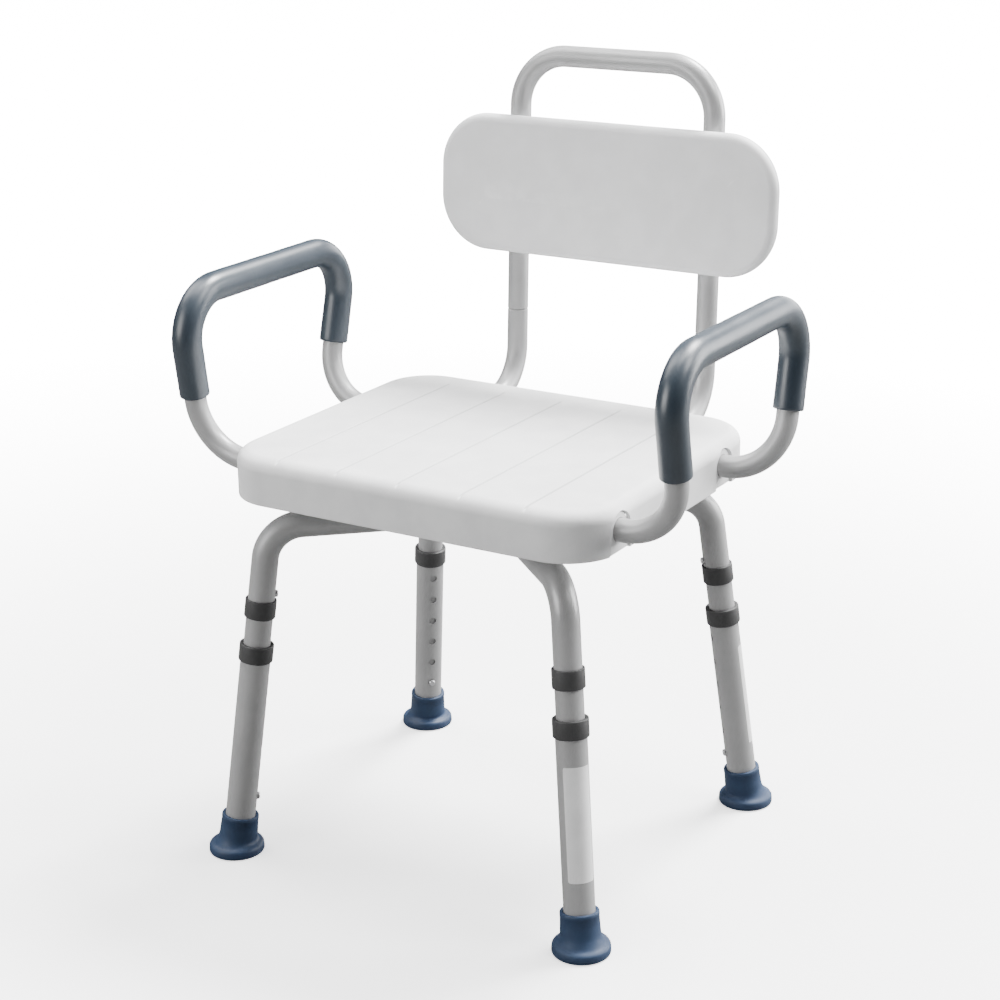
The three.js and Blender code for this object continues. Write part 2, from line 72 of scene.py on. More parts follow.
def around(axis):
    # two directions square to an axis
    side = axis.orthogonal().normalized()
    return side, axis.cross(side).normalized()


class BentPath:
    # a centre line of straight runs joined by arcs
    def __init__(self, corners, radii):
        self.parts = []
        self.length = 0.0
        corners = [Vector(c) for c in corners]
        start = corners[0]
        for i in range(1, len(corners) - 1):
            before = (corners[i] - corners[i - 1]).normalized()
            after = (corners[i + 1] - corners[i]).normalized()
            turn = before.angle(after)
            reach = radii[i - 1] * math.tan(turn / 2)
            stop = corners[i] - before * reach
            self.add("run", start, before, (stop - start).length)
            axis = before.cross(after).normalized()
            self.add("arc", stop, before, radii[i - 1] * turn, axis, radii[i - 1])
            start = corners[i] + after * reach
        last = (corners[-1] - start)
        self.add("run", start, last.normalized(), last.length)
        self.side = around(self.parts[0]["way"])[0]

    def add(self, kind, start, way, length, axis=None, radius=0.0):
        self.parts.append({"kind": kind, "start": start, "way": way, "length": length, "axis": axis,
                           "radius": radius, "from": self.length})
        self.length += length

    def at(self, distance):
        side = self.side.copy()
        for part in self.parts:
            inside = distance - part["from"]
            last = part is self.parts[-1]
            if part["kind"] == "run":
                if inside <= part["length"] or last:
                    return part["start"] + part["way"] * inside, part["way"], side
                continue
            here = min(inside, part["length"])
            turn = Matrix.Rotation(here / part["radius"], 3, part["axis"])
            side = turn @ side
            if inside <= part["length"]:
                arm = -part["axis"].cross(part["way"]) * part["radius"]
                return part["start"] - arm + turn @ arm, turn @ part["way"], side
        return None

    def stops(self, first, last, stretch=14 * mm, turn=4.0):
        found = {first, last}
        for part in self.parts:
            step = stretch if part["kind"] == "run" else math.radians(turn) * part["radius"]
            count = max(1, math.ceil(part["length"] / step))
            found.update(part["from"] + part["length"] * i / count for i in range(count + 1))
        kept = sorted(s for s in found if first <= s <= last)
        return [s for i, s in enumerate(kept) if i == 0 or s - kept[i - 1] > 0.05 * mm]


def straight(start, way, length):
    start = Vector(start)
    return BentPath([start, start + Vector(way).normalized() * length], [])


def ringAt(centre, way, side, radius, sides):
    if radius <= 0:
        return [centre.copy()]
    other = way.cross(side)
    turns = [2 * math.pi * i / sides for i in range(sides)]
    return [centre + side * (radius * math.cos(a)) + other * (radius * math.sin(a)) for a in turns]


def loft(rings, closed=True):
    points, faces, first = [], [], []
    for ring in rings:
        first.append(len(points))
        points.extend(ring)
    pairs = [(i, i + 1) for i in range(len(rings) - 1)]
    if closed:
        pairs.append((len(rings) - 1, 0))
    for a, b in pairs:
        sizeA, sizeB = len(rings[a]), len(rings[b])
        for i in range(max(sizeA, sizeB)):
            j = i + 1
            quad = [first[a] + i % sizeA, first[a] + j % sizeA, first[b] + j % sizeB, first[b] + i % sizeB]
            quad = list(dict.fromkeys(quad))
            if len(quad) > 2:
                faces.append(quad)
    return points, faces


def sweep(path, profile, sides=64):
    # profile: (distance along the path, radius), round the section
    rings = []
    for distance, radius in profile:
        point, way, side = path.at(distance)
        rings.append(ringAt(point, way, side, radius, sides))
    return loft(rings)


def pipe(path, outer, inner, chamfer, first=0.0, last=None, sides=64, turn=4.0):
    last = path.length if last is None else last
    skin = path.stops(first + chamfer, last - chamfer, turn=turn)
    bore = path.stops(first, last, turn=turn)
    profile = [(first, outer - chamfer)] + [(s, outer) for s in skin] + [(last, outer - chamfer)]
    profile += [(s, inner) for s in reversed(bore)]
    return sweep(path, profile, sides)


def turned(base, way, profile, sides=64):
    # profile: (height, radius) in mm from base along way
    line = straight(base, way, 1.0)
    return sweep(line, [(h * mm, r * mm) for h, r in profile], sides)


def gather(*shapes):
    points, faces = [], []
    for shapePoints, shapeFaces in shapes:
        base = len(points)
        points.extend(shapePoints)
        faces.extend([base + i for i in face] for face in shapeFaces)
    return points, faces


def prism(outline, low, high, bevel=0.0):
    # an outline of (x, y) raised from low to high, with its two rims chamfered
    centre = Vector((sum(p[0] for p in outline), sum(p[1] for p in outline))) / len(outline)

    def level(inset, height):
        ring = []
        count = len(outline)
        for i in range(count):
            a, b, c = (Vector(outline[(i + k) % count]) for k in (-1, 0, 1))
            n1 = Vector((b.y - a.y, a.x - b.x))
            n2 = Vector((c.y - b.y, b.x - c.x))
            n = (n1.normalized() + n2.normalized())
            n = n.normalized() if n.length > 1e-9 else (b - centre).normalized()
            ring.append(Vector((b.x - n.x * inset, b.y - n.y * inset, height)))
        return ring

    rings = [level(bevel, low), level(0, low + bevel), level(0, high - bevel), level(bevel, high)]
    if bevel <= 0:
        rings = [level(0, low), level(0, high)]
    points, faces = loft(rings, closed=False)
    count = len(outline)
    faces.append(list(range(count))[::-1])
    faces.append([len(points) - count + i for i in range(count)])
    return points, faces


def roundedOutline(halfX, halfY, corner, steps=12):
    outline = []
    for quarter, (sx, sy) in enumerate(((1, 1), (-1, 1), (-1, -1), (1, -1))):
        for i in range(steps + 1):
            a = math.pi / 2 * (quarter + i / steps)
            outline.append((sx * (halfX - corner) + corner * math.cos(a),
                            sy * (halfY - corner) + corner * math.sin(a)))
    return outline


def moved(shape, matrix):
    points, faces = shape
    return [matrix @ p for p in points], faces


def meshOf(name, shape, angle=32):
    points, faces = shape
    mesh = bpy.data.meshes.new(name)
    mesh.from_pydata([tuple(p) for p in points], [], faces)
    work = bmesh.new()
    work.from_mesh(mesh)
    bmesh.ops.remove_doubles(work, verts=work.verts, dist=1e-7)
    bmesh.ops.recalc_face_normals(work, faces=work.faces)
    work.to_mesh(mesh)
    work.free()
    mesh.shade_smooth()
    mesh.set_sharp_from_angle(angle=math.radians(angle))
    return mesh


def makePiece(name, shape, angle=32):
    piece = bpy.data.objects.new(name, meshOf(name, shape, angle))
    bpy.context.scene.collection.objects.link(piece)
    return piece


def combine(piece, shape, operation="DIFFERENCE", angle=32):
    # cuts a shape out of a piece, or joins it on
    tool = makePiece("tool", shape)
    step = piece.modifiers.new("combine", "BOOLEAN")
    step.operation = operation
    step.solver = "MANIFOLD"
    step.object = tool
    bpy.context.view_layer.update()
    done = bpy.data.meshes.new_from_object(piece.evaluated_get(bpy.context.evaluated_depsgraph_get()))
    piece.modifiers.clear()
    old = piece.data
    piece.data = done
    done.name = piece.name
    bpy.data.meshes.remove(old)
    bpy.data.objects.remove(tool)
    done.shade_smooth()
    done.set_sharp_from_angle(angle=math.radians(angle))
    return piece


def settle(piece, material, body, nodes=(), weighted=False):
    piece.data.materials.clear()
    piece.data.materials.append(material)
    if weighted:
        piece.modifiers.new("normals", "WEIGHTED_NORMAL").keep_sharp = True
    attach(piece, body)
    if nodes:
        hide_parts(*nodes)
    return piece


def pegs(places, radius, reach, sides=32):
    # cylinders for cutting: (start, direction) pairs
    return gather(*[sweep(straight(start, way, reach), [(0, 0), (0, radius), (reach, radius), (reach, 0)],
                          sides)
                    for start, way in places])


# shader groups

def newGroup(name, inputs, outputs):
    group = bpy.data.node_groups.new(name, "ShaderNodeTree")
    for label, kind, value in inputs:
        socket = group.interface.new_socket(label, in_out="INPUT", socket_type=kind)
        if value is not None:
            socket.default_value = value
    for label, kind in outputs:
        group.interface.new_socket(label, in_out="OUTPUT", socket_type=kind)
    return group, group.nodes.new("NodeGroupInput"), group.nodes.new("NodeGroupOutput")


def calc(group, operation, a, b=None, clamp=False):
    node = group.nodes.new("ShaderNodeMath")
    node.operation = operation
    node.use_clamp = clamp
    for socket, value in zip(node.inputs, (a, b)):
        if value is None:
            continue
        if isinstance(value, (int, float)):
            socket.default_value = value
        else:
            group.links.new(value, socket)
    return node.outputs[0]


def noiseOf(group, vector, scale, detail=3.0, rough=0.55):
    node = group.nodes.new("ShaderNodeTexNoise")
    group.links.new(vector, node.inputs["Vector"])
    if isinstance(scale, (int, float)):
        node.inputs["Scale"].default_value = scale
    else:
        group.links.new(scale, node.inputs["Scale"])
    node.inputs["Detail"].default_value = detail
    node.inputs["Roughness"].default_value = rough
    return node.outputs["Fac"]


def spread(group, value, low, high, toLow=0.0, toHigh=1.0):
    node = group.nodes.new("ShaderNodeMapRange")
    node.interpolation_type = "SMOOTHSTEP"
    group.links.new(value, node.inputs["Value"])
    for label, number in (("From Min", low), ("From Max", high), ("To Min", toLow), ("To Max", toHigh)):
        node.inputs[label].default_value = number
    return node.outputs["Result"]


def buildGrain():
    # moulded or foamed skin: fine pebbles over a broad unevenness
    group, take, give = newGroup(
        "skinGrain",
        [("Vector", "NodeSocketVector", None), ("Pebble Scale", "NodeSocketFloat", 900.0),
         ("Broad Scale", "NodeSocketFloat", 30.0)],
        [("Height", "NodeSocketFloat"), ("Pits", "NodeSocketFloat"), ("Broad", "NodeSocketFloat")])
    pebbles = group.nodes.new("ShaderNodeTexVoronoi")
    group.links.new(take.outputs["Vector"], pebbles.inputs["Vector"])
    group.links.new(take.outputs["Pebble Scale"], pebbles.inputs["Scale"])
    fine = noiseOf(group, take.outputs["Vector"], take.outputs["Pebble Scale"], 2.0)
    broad = noiseOf(group, take.outputs["Vector"], take.outputs["Broad Scale"], 3.0)
    height = calc(group, "ADD", calc(group, "MULTIPLY", pebbles.outputs["Distance"], 0.6), fine)
    group.links.new(height, give.inputs["Height"])
    group.links.new(spread(group, pebbles.outputs["Distance"], 0.45, 0.9), give.inputs["Pits"])
    group.links.new(spread(group, broad, 0.3, 0.7), give.inputs["Broad"])
    return group


def buildWearAndShade():
    # rubbed outer edges, and grime with painted shade darkening inner corners and creases, broken up by
    # noise
    group, take, give = newGroup(
        "edgeWearAndCornerShade",
        [("Vector", "NodeSocketVector", None), ("Break Scale", "NodeSocketFloat", 120.0)],
        [("Edge", "NodeSocketFloat"), ("Corner", "NodeSocketFloat")])
    shape = group.nodes.new("ShaderNodeNewGeometry")
    chips = noiseOf(group, take.outputs["Vector"], take.outputs["Break Scale"], 4.0, 0.65)
    edge = spread(group, shape.outputs["Pointiness"], 0.52, 0.62)
    # painted shade with grime: hollows and creases are darkened
    corner = spread(group, shape.outputs["Pointiness"], 0.40, 0.49, 1.0, 0.0)
    group.links.new(calc(group, "MULTIPLY", edge, spread(group, chips, 0.35, 0.65)), give.inputs["Edge"])
    group.links.new(calc(group, "MULTIPLY", corner, spread(group, chips, 0.2, 0.6)), give.inputs["Corner"])
    return group


def buildHandling():
    # smears and faint scratches from cleaning and use
    group, take, give = newGroup(
        "handling",
        [("Vector", "NodeSocketVector", None), ("Smear Scale", "NodeSocketFloat", 14.0),
         ("Scratch Scale", "NodeSocketFloat", 60.0)],
        [("Smear", "NodeSocketFloat"), ("Scratch", "NodeSocketFloat")])
    smear = noiseOf(group, take.outputs["Vector"], take.outputs["Smear Scale"], 4.0, 0.6)
    stretch = group.nodes.new("ShaderNodeMapping")
    stretch.inputs["Scale"].default_value = (1.0, 1.0, 0.08)
    group.links.new(take.outputs["Vector"], stretch.inputs["Vector"])
    lines = noiseOf(group, stretch.outputs["Vector"], take.outputs["Scratch Scale"], 5.0, 0.7)
    group.links.new(spread(group, smear, 0.35, 0.7), give.inputs["Smear"])
    group.links.new(spread(group, lines, 0.58, 0.66), give.inputs["Scratch"])
    return group


groups = {"grain": buildGrain(), "wearAndShade": buildWearAndShade(), "handling": buildHandling()}


finishes = {
    # dark and light are the two ends of the colour's slight drift
    # grime is a darker colour for dirt and for painted shade in inner corners and creases
    "seatPlastic": {"light": (0.80, 0.80, 0.80), "dark": (0.74, 0.74, 0.745), "edge": (0.86, 0.86, 0.86),
                    "grimeAndShade": (0.52, 0.52, 0.52), "rough": (0.46, 0.58), "pebble": 1100, "bump": 0.10,
                    "step": 0.00012,
                    "metallic": 0.0, "specular": 0.45, "coat": 0.0},
    "backPlastic": {"light": (0.799, 0.799, 0.805), "dark": (0.745, 0.745, 0.751),
                    "edge": (0.886, 0.886, 0.886),
                    "grimeAndShade": (0.518, 0.518, 0.518), "rough": (0.48, 0.60), "pebble": 700, "bump": 0.16,
                    "step": 0.00016,
                    "metallic": 0.0, "specular": 0.42, "coat": 0.0},
    "satinTube": {"light": (0.395, 0.395, 0.397), "dark": (0.365, 0.365, 0.367),
                  "edge": (0.471, 0.471, 0.475),
                  "grimeAndShade": (0.213, 0.213, 0.213), "rough": (0.34, 0.44), "pebble": 2600, "bump": 0.05,
                  "step": 0.00005,
                  "metallic": 0.2, "specular": 0.5, "coat": 0.0},
    "gripFoam": {"light": (0.029, 0.042, 0.057), "dark": (0.024, 0.035, 0.049),
                 "edge": (0.058, 0.074, 0.091),
                 "grimeAndShade": (0.017, 0.021, 0.027), "rough": (0.31, 0.39), "pebble": 1500, "bump": 0.12,
                 "step": 0.00012,
                 "metallic": 0.0, "specular": 0.7, "coat": 0.0},
    "collarPlastic": {"light": (0.053, 0.053, 0.054), "dark": (0.038, 0.038, 0.039),
                      "edge": (0.116, 0.116, 0.116),
                      "grimeAndShade": (0.021, 0.021, 0.021), "rough": (0.44, 0.58), "pebble": 1400, "bump": 0.14,
                      "step": 0.00012,
                      "metallic": 0.0, "specular": 0.45, "coat": 0.0},
    "footRubber": {"light": (0.021, 0.044, 0.095), "dark": (0.015, 0.032, 0.071),
                   "edge": (0.054, 0.076, 0.121),
                   "grimeAndShade": (0.032, 0.032, 0.035), "rough": (0.50, 0.66), "pebble": 1000, "bump": 0.20,
                   "step": 0.00015,
                   "metallic": 0.0, "specular": 0.4, "coat": 0.0},
    "springSteel": {"light": (0.66, 0.66, 0.67), "dark": (0.52, 0.52, 0.53), "edge": (0.85, 0.85, 0.85),
                    "grimeAndShade": (0.20, 0.19, 0.18), "rough": (0.20, 0.34), "pebble": 3000, "bump": 0.04,
                    "step": 0.00004,
                    "metallic": 1.0, "specular": 0.5, "coat": 0.0},
    "zincPlate": {"light": (0.56, 0.57, 0.58), "dark": (0.44, 0.45, 0.46), "edge": (0.75, 0.75, 0.76),
                  "grimeAndShade": (0.18, 0.17, 0.16), "rough": (0.34, 0.52), "pebble": 420, "bump": 0.05,
                  "step": 0.00005,
                  "metallic": 0.95, "specular": 0.5, "coat": 0.0},
    "labelPaper": {"light": (0.88, 0.88, 0.88), "dark": (0.80, 0.80, 0.80), "edge": (0.88, 0.88, 0.88),
                   "grimeAndShade": (0.6, 0.6, 0.6), "rough": (0.34, 0.46), "pebble": 2200, "bump": 0.03,
                   "step": 0.00003,
                   "metallic": 0.0, "specular": 0.5, "coat": 0.15},
}


def mixColor(tree, factor, a, b):
    node = tree.nodes.new("ShaderNodeMix")
    node.data_type = "RGBA"
    tree.links.new(factor, node.inputs["Factor"])
    colors = [s for s in node.inputs if s.type == "RGBA"]
    for socket, value in zip(colors, (a, b)):
        if isinstance(value, tuple):
            socket.default_value = (*value, 1.0)
        else:
            tree.links.new(value, socket)
    return next(s for s in node.outputs if s.type == "RGBA")


def channelMask(tree, place, channel):
    # painted shade: a darker line along the long channels of the seat's top
    split = tree.nodes.new("ShaderNodeSeparateXYZ")
    tree.links.new(place, split.inputs[0])
    across = calc(tree, "PINGPONG", split.outputs["X"], channel["pitch"] / 2)
    line = spread(tree, across, channel["half"] * 0.35, channel["half"], 1.0, 0.0)
    side = spread(tree, calc(tree, "ABSOLUTE", split.outputs["X"]), channel["side"], channel["side"] + mm,
                  1.0, 0.0)
    front = spread(tree, split.outputs["Y"], channel["rear"], channel["rear"] + 4 * mm, 1.0, 0.0)
    height = spread(tree, split.outputs["Z"], channel["low"], channel["low"] + mm)
    return calc(tree, "MULTIPLY", calc(tree, "MULTIPLY", line, side), calc(tree, "MULTIPLY", front, height))


amounts = {"edge": 0.6, "grimeAndShade": 0.35, "scratch": 0.12, "pits": 0.06}  # how strongly each effect shows


def makeMaterial(name):
    look = finishes[name]
    material = bpy.data.materials.new(name)
    material.use_nodes = True
    tree = material.node_tree
    shader = tree.nodes["Principled BSDF"]
    shader.inputs["Metallic"].default_value = look["metallic"]
    shader.inputs["Specular IOR Level"].default_value = look["specular"]
    shader.inputs["Coat Weight"].default_value = look["coat"]
    place = tree.nodes.new("ShaderNodeTexCoord").outputs["Object"]
    made = {}
    for key in ("grain", "wearAndShade", "handling"):
        node = tree.nodes.new("ShaderNodeGroup")
        node.node_tree = groups[key]
        tree.links.new(place, node.inputs["Vector"])
        made[key] = node
    made["grain"].inputs["Pebble Scale"].default_value = look["pebble"]
    color = mixColor(tree, made["grain"].outputs["Broad"], look["dark"], look["light"])
    edge = calc(tree, "MULTIPLY", made["wearAndShade"].outputs["Edge"], amounts["edge"])
    color = mixColor(tree, edge, color, look["edge"])
    # grime and painted shade: inner corners and creases darken towards the grime colour
    grimeAndShade = calc(tree, "MULTIPLY", made["wearAndShade"].outputs["Corner"], amounts["grimeAndShade"])
    color = mixColor(tree, grimeAndShade, color, look["grimeAndShade"])
    scratch = calc(tree, "MULTIPLY", made["handling"].outputs["Scratch"], amounts["scratch"])
    color = mixColor(tree, scratch, color, look["edge"])
    # painted shade along the seat's channels
    if "channel" in look:
        color = mixColor(tree, channelMask(tree, place, look["channel"]), color, look["channel"]["color"])
    tree.links.new(color, shader.inputs["Base Color"])
    low, high = look["rough"]
    rough = spread(tree, made["handling"].outputs["Smear"], 0.0, 1.0, high, low)
    rough = calc(tree, "ADD", rough,
                 calc(tree, "MULTIPLY", made["grain"].outputs["Pits"], amounts["pits"]), clamp=True)
    tree.links.new(rough, shader.inputs["Roughness"])
    bump = tree.nodes.new("ShaderNodeBump")
    bump.inputs["Strength"].default_value = look["bump"]
    bump.inputs["Distance"].default_value = look["step"]
    tree.links.new(made["grain"].outputs["Height"], bump.inputs["Height"])
    tree.links.new(bump.outputs["Normal"], shader.inputs["Normal"])
    return material


seatTop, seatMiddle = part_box("seat_shell")[1].z, middle("pivot_bolt").y
# painted shade in the seat's channels, with its darker colour
finishes["seatPlastic"]["channel"] = {"pitch": 65 * mm, "half": 1.9 * mm, "side": 140 * mm,
                                      "low": seatTop - 2.6 * mm,
                                      "rear": seatMiddle + 131 * mm, "color": (0.49, 0.49, 0.495)}
paint = {name: makeMaterial(name) for name in finishes}
print("materials made:", len(paint))


# seat

seatSizes = {
    "corner": 52, "rim": 13, "wall": 4, "lip": 1.4,
    "grooves": (-130, -65, 0, 65, 130), "grooveWidth": 4.6, "grooveDepth": 1.5, "grooveEnd": 136,
    "ribs": (-80, -40, 0, 40, 80), "crossRibs": (-140, -60, 0, 50), "ribWall": 3, "ribDepth": 14,
    "ribReach": 150, "crossRibReach": 180, "bossSpread": 58, "bossFoot": (8.2, 9, 9.6), "bossGap": 0.3,
    "notchRadius": 17, "notchDepth": 17, "notchClear": 6, "rimSteps": 10,
}

seatLow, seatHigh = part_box("seat_shell")
axisPoint = middle("pivot_bolt")
axisY = axisPoint.y
seatHalfX = (seatHigh.x - seatLow.x) / 2
seatHalfY = (seatHigh.y - seatLow.y) / 2
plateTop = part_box("upper_swivel_plate")[1].z
armLow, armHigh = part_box("arm_tube_right")
tubeRadius = (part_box("back_lower_tube_right")[1].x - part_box("back_lower_tube_right")[0].x) / 2
socketZ = armLow.z + tubeRadius


def atAxis(shape):
    # from mm round the swivel's axis to metres in the frame
    points, faces = shape
    return [Vector((p.x * mm, p.y * mm + axisY, p.z * mm)) for p in points], faces


def fade(value):
    value = min(1.0, max(0.0, value))
    return value * value * (3 - 2 * value)


def seatLines():
    # x of the mesh lines: close together across each groove
    near = (-1.0, -0.8, -0.6, -0.4, -0.2, 0.0, 0.2, 0.4, 0.6, 0.8, 1.0)
    half = seatSizes["grooveWidth"] / 2
    lines = {g + half * k for g in seatSizes["grooves"] for k in near}
    plank = seatSizes["grooves"] + (-145, 145)
    for a, b in zip(sorted(plank), sorted(plank)[1:]):
        count = max(1, round((b - a - 2 * half) / 8))
        lines.update(a + half + (b - a - 2 * half) * i / count for i in range(1, count))
    edge = seatHalfX / mm - seatSizes["corner"]
    return sorted(x for x in lines if abs(x) < edge - 1)


def seatOutline(inset):
    # the same count of points at every inset, with the groove lines on the front and rear edges
    corner = seatSizes["corner"]
    halfX, halfY = seatHalfX / mm, seatHalfY / mm
    radius = corner - inset
    cornerX, cornerY = halfX - corner, halfY - corner
    lines = seatLines()
    points = []

    def quarter(sx, sy, first):
        for i in range(1, 24):
            a = math.radians(first + 90 * i / 24)
            points.append((sx * cornerX + radius * math.cos(a), sy * cornerY + radius * math.sin(a)))

    sideY = [-cornerY + 2 * cornerY * i / 30 for i in range(31)]
    points.extend((halfX - inset, y) for y in sideY)
    quarter(1, 1, 0)
    points.extend((x, halfY - inset) for x in [cornerX] + lines[::-1] + [-cornerX])
    quarter(-1, 1, 90)
    points.extend((-halfX + inset, y) for y in sideY[::-1])
    quarter(-1, -1, 180)
    points.extend((x, -halfY + inset) for x in [-cornerX] + lines + [cornerX])
    quarter(1, -1, 270)
    return points


def grooveDrop(x, y, lift):
    # lift is 1 on the flat top and falls to 0 round the rim
    half = seatSizes["grooveWidth"] / 2
    near = min(abs(x - g) for g in seatSizes["grooves"])
    across = fade(1 - near / half)
    along = fade((seatSizes["grooveEnd"] - y) / 6)
    return seatSizes["grooveDepth"] * across * along * lift


def seatBody():
    rim, wall, lip = seatSizes["rim"], seatSizes["wall"], seatSizes["lip"]
    top, bottom = seatHigh.z / mm, seatLow.z / mm
    steps = seatSizes["rimSteps"]
    flat, heights = [], []
    count = len(seatOutline(0))
    for i in range(steps + 1):
        a = math.pi / 2 * i / steps
        inset = rim * (1 - math.cos(a))
        for x, y in seatOutline(inset):
            flat.append(Vector((x, y)))
            rise = math.sin(a)
            heights.append(top - rim + rim * rise - grooveDrop(x, y, fade((rise - 0.7) / 0.3)))
    # the flat top inside the rim
    inner = seatOutline(rim + 2.5)
    inner = [Vector(p) for p in inner]
    trim = rim + 2.5
    halfX, halfY, corner = seatHalfX / mm - trim, seatHalfY / mm - trim, seatSizes["corner"] - trim

    def inside(x, y):
        dx, dy = max(0.0, abs(x) - (halfX - corner)), max(0.0, abs(y) - (halfY - corner))
        return abs(x) <= halfX and abs(y) <= halfY and math.hypot(dx, dy) <= corner

    edge = seatHalfX / mm - seatSizes["corner"]
    acrossX = sorted(seatLines() + [s * (edge + 6 * i) for s in (-1, 1) for i in range(8)])
    alongY = [-150 + 6 * i for i in range(47)] + [seatSizes["grooveEnd"] - k for k in (4.5, 3, 1.5, 0, -2)]
    alongY = sorted(set(alongY + [140, 146]))
    for x in acrossX:
        for y in alongY:
            if inside(x, y):
                flat.append(Vector((x, y)))
                heights.append(top - grooveDrop(x, y, 1.0))
    found = geometry.delaunay_2d_cdt(flat, [], [], 0, 1e-4)
    order = {}
    for i, p in enumerate(flat):
        order[(round(p.x, 3), round(p.y, 3))] = i
    points = []
    for p in found[0]:
        i = order.get((round(p.x, 3), round(p.y, 3)))
        height = heights[i] if i is not None else top
        points.append(Vector((p.x, p.y, height)))
    faces = [list(f) for f in found[2]]
    # skirt, lip and inner wall hang from the outermost ring
    drop = [(0, top - rim), (0, top - 22), (0, top - 31), (0, bottom + lip)]
    drop += [(lip * (1 - math.cos(a)), bottom + lip - lip * math.sin(a))
             for a in (math.radians(d) for d in (30, 60, 90))]
    drop += [(wall - 0.6, bottom), (wall, bottom + 0.6), (wall, top - rim)]
    drop += [(wall + 9 * (1 - math.cos(a)), top - rim + 9 * math.sin(a))
             for a in (math.radians(d) for d in (18, 36, 54, 72, 90))]
    rings = [[Vector((x, y, z)) for x, y in seatOutline(inset)] for inset, z in drop]
    side = loft(rings, closed=False)
    ceiling = (rings[-1], [list(range(count))])
    shape = gather((points, faces), side, ceiling)
    return atAxis(shape)


def boxShape(x0, x1, y0, y1, z0, z1):
    outline = [(x0, y0), (x1, y0), (x1, y1), (x0, y1)]
    return atAxis(prism(outline, z0, z1, 0))


entries = []
for place in ("front_left", "front_right", "rear_left", "rear_right"):
    centre = middle("arm_socket_" + place)
    way = Vector((1 if centre.x > 0 else -1, 0, 0))
    entries.append(("arm_socket_" + place, Vector((way.x * seatHalfX, centre.y, socketZ)), way))
for place in ("left", "right"):
    centre = middle("back_socket_" + place)
    entries.append(("back_socket_" + place, Vector((centre.x, seatHigh.y, socketZ)), Vector((0, 1, 0))))


def arch(mouth, way, radius, first, last, bottom, bevel=0.0):
    # half round above the tube's centre line and straight down to bottom
    # first and last are measured outward from the mouth
    across = way.cross(up)
    outline = [(-radius, bottom), (radius, bottom)]
    outline += [(radius * math.cos(a), socketZ + radius * math.sin(a))
                for a in (math.pi * i / 32 for i in range(33))]
    shape = prism(outline, first, last, bevel)
    base = Vector((mouth.x, mouth.y, 0))
    return [base + across * p.x + up * p.y + way * p.z for p in shape[0]], shape[1]


top = seatHigh.z / mm
seat = makePiece("seatShell", seatBody())
notches = gather(*[arch(mouth, way, seatSizes["notchRadius"] * mm, -seatSizes["notchDepth"] * mm,
                        seatSizes["notchClear"] * mm, seatLow.z - 2 * mm) for name, mouth, way in entries])
combine(seat, notches)
ribTop = top - seatSizes["wall"] + 1
ribFoot = top - seatSizes["wall"] - seatSizes["ribDepth"]
ribHalf, ribReach, crossReach = seatSizes["ribWall"] / 2, seatSizes["ribReach"], seatSizes["crossRibReach"]
for x in seatSizes["ribs"]:
    combine(seat, boxShape(x - ribHalf, x + ribHalf, -ribReach, ribReach, ribFoot, ribTop), "UNION")
for y in seatSizes["crossRibs"]:
    combine(seat, boxShape(-crossReach, crossReach, y - ribHalf, y + ribHalf, ribFoot, ribTop), "UNION")
bosses = []
for sx in (-1, 1):
    for sy in (-1, 1):
        spot = seatSizes["bossSpread"] * mm
        foot = Vector((sx * spot, sy * spot + axisY, plateTop + seatSizes["bossGap"] * mm))
        height = ribTop - foot.z / mm
        tip, shoulder, root = seatSizes["bossFoot"]
        bosses.append(turned(foot, up, [(0, 0), (0, tip), (0.8, shoulder), (height, root), (height, 0)],
                             40))
combine(seat, gather(*bosses), "UNION", angle=34)
settle(seat, paint["seatPlastic"], "seat", ["seat_shell"], weighted=True)
print("seat shell:", len(seat.data.polygons), "faces")

socketSizes = {"wall": 5.2, "bore": 0.4, "length": 64, "inset": 2.5, "bevel": 0.7, "web": 3}
for name, mouth, way in entries:
    outer = tubeRadius + socketSizes["wall"] * mm
    last = -socketSizes["inset"] * mm
    first = last - socketSizes["length"] * mm
    block = makePiece(name.replace("_", "") + "Block",
                      arch(mouth, way, outer, first, last, seatLow.z + 0.5 * mm, socketSizes["bevel"] * mm))
    bore = pegs([(mouth + way * (first - 2 * mm), way)], tubeRadius + socketSizes["bore"] * mm,
                socketSizes["length"] * mm + 4 * mm, 64)
    across = way.cross(up)
    # a web ties the socket to the underside of the seat's top
    webHalf, webFront = socketSizes["web"] / 2 * mm, -seatSizes["rim"] * mm
    webTop = seatHigh.z - (seatSizes["wall"] + 0.3) * mm - mouth.z
    web = [mouth + way * x + across * y + up * z for z in (outer - mm, webTop)
           for x, y in ((first, -webHalf), (webFront, -webHalf), (webFront, webHalf), (first, webHalf))]
    webFaces = [[0, 1, 2, 3], [7, 6, 5, 4], [0, 4, 5, 1], [1, 5, 6, 2], [2, 6, 7, 3], [3, 7, 4, 0]]
    combine(block, (web, webFaces), "UNION")
    combine(block, bore)
    settle(block, paint["seatPlastic"], "seat", [name], weighted=True)
print("sockets:", len(entries))


# arms

armSizes = {"lowBend": 53, "topBend": 44, "topReach": 54, "wall": 1.5, "chamfer": 0.5, "sides": 72}
gripSizes = {"gap": 0.4, "thickness": 3.4, "rise": 58.5, "round": 2.2, "swell": 0.1, "sides": 96}

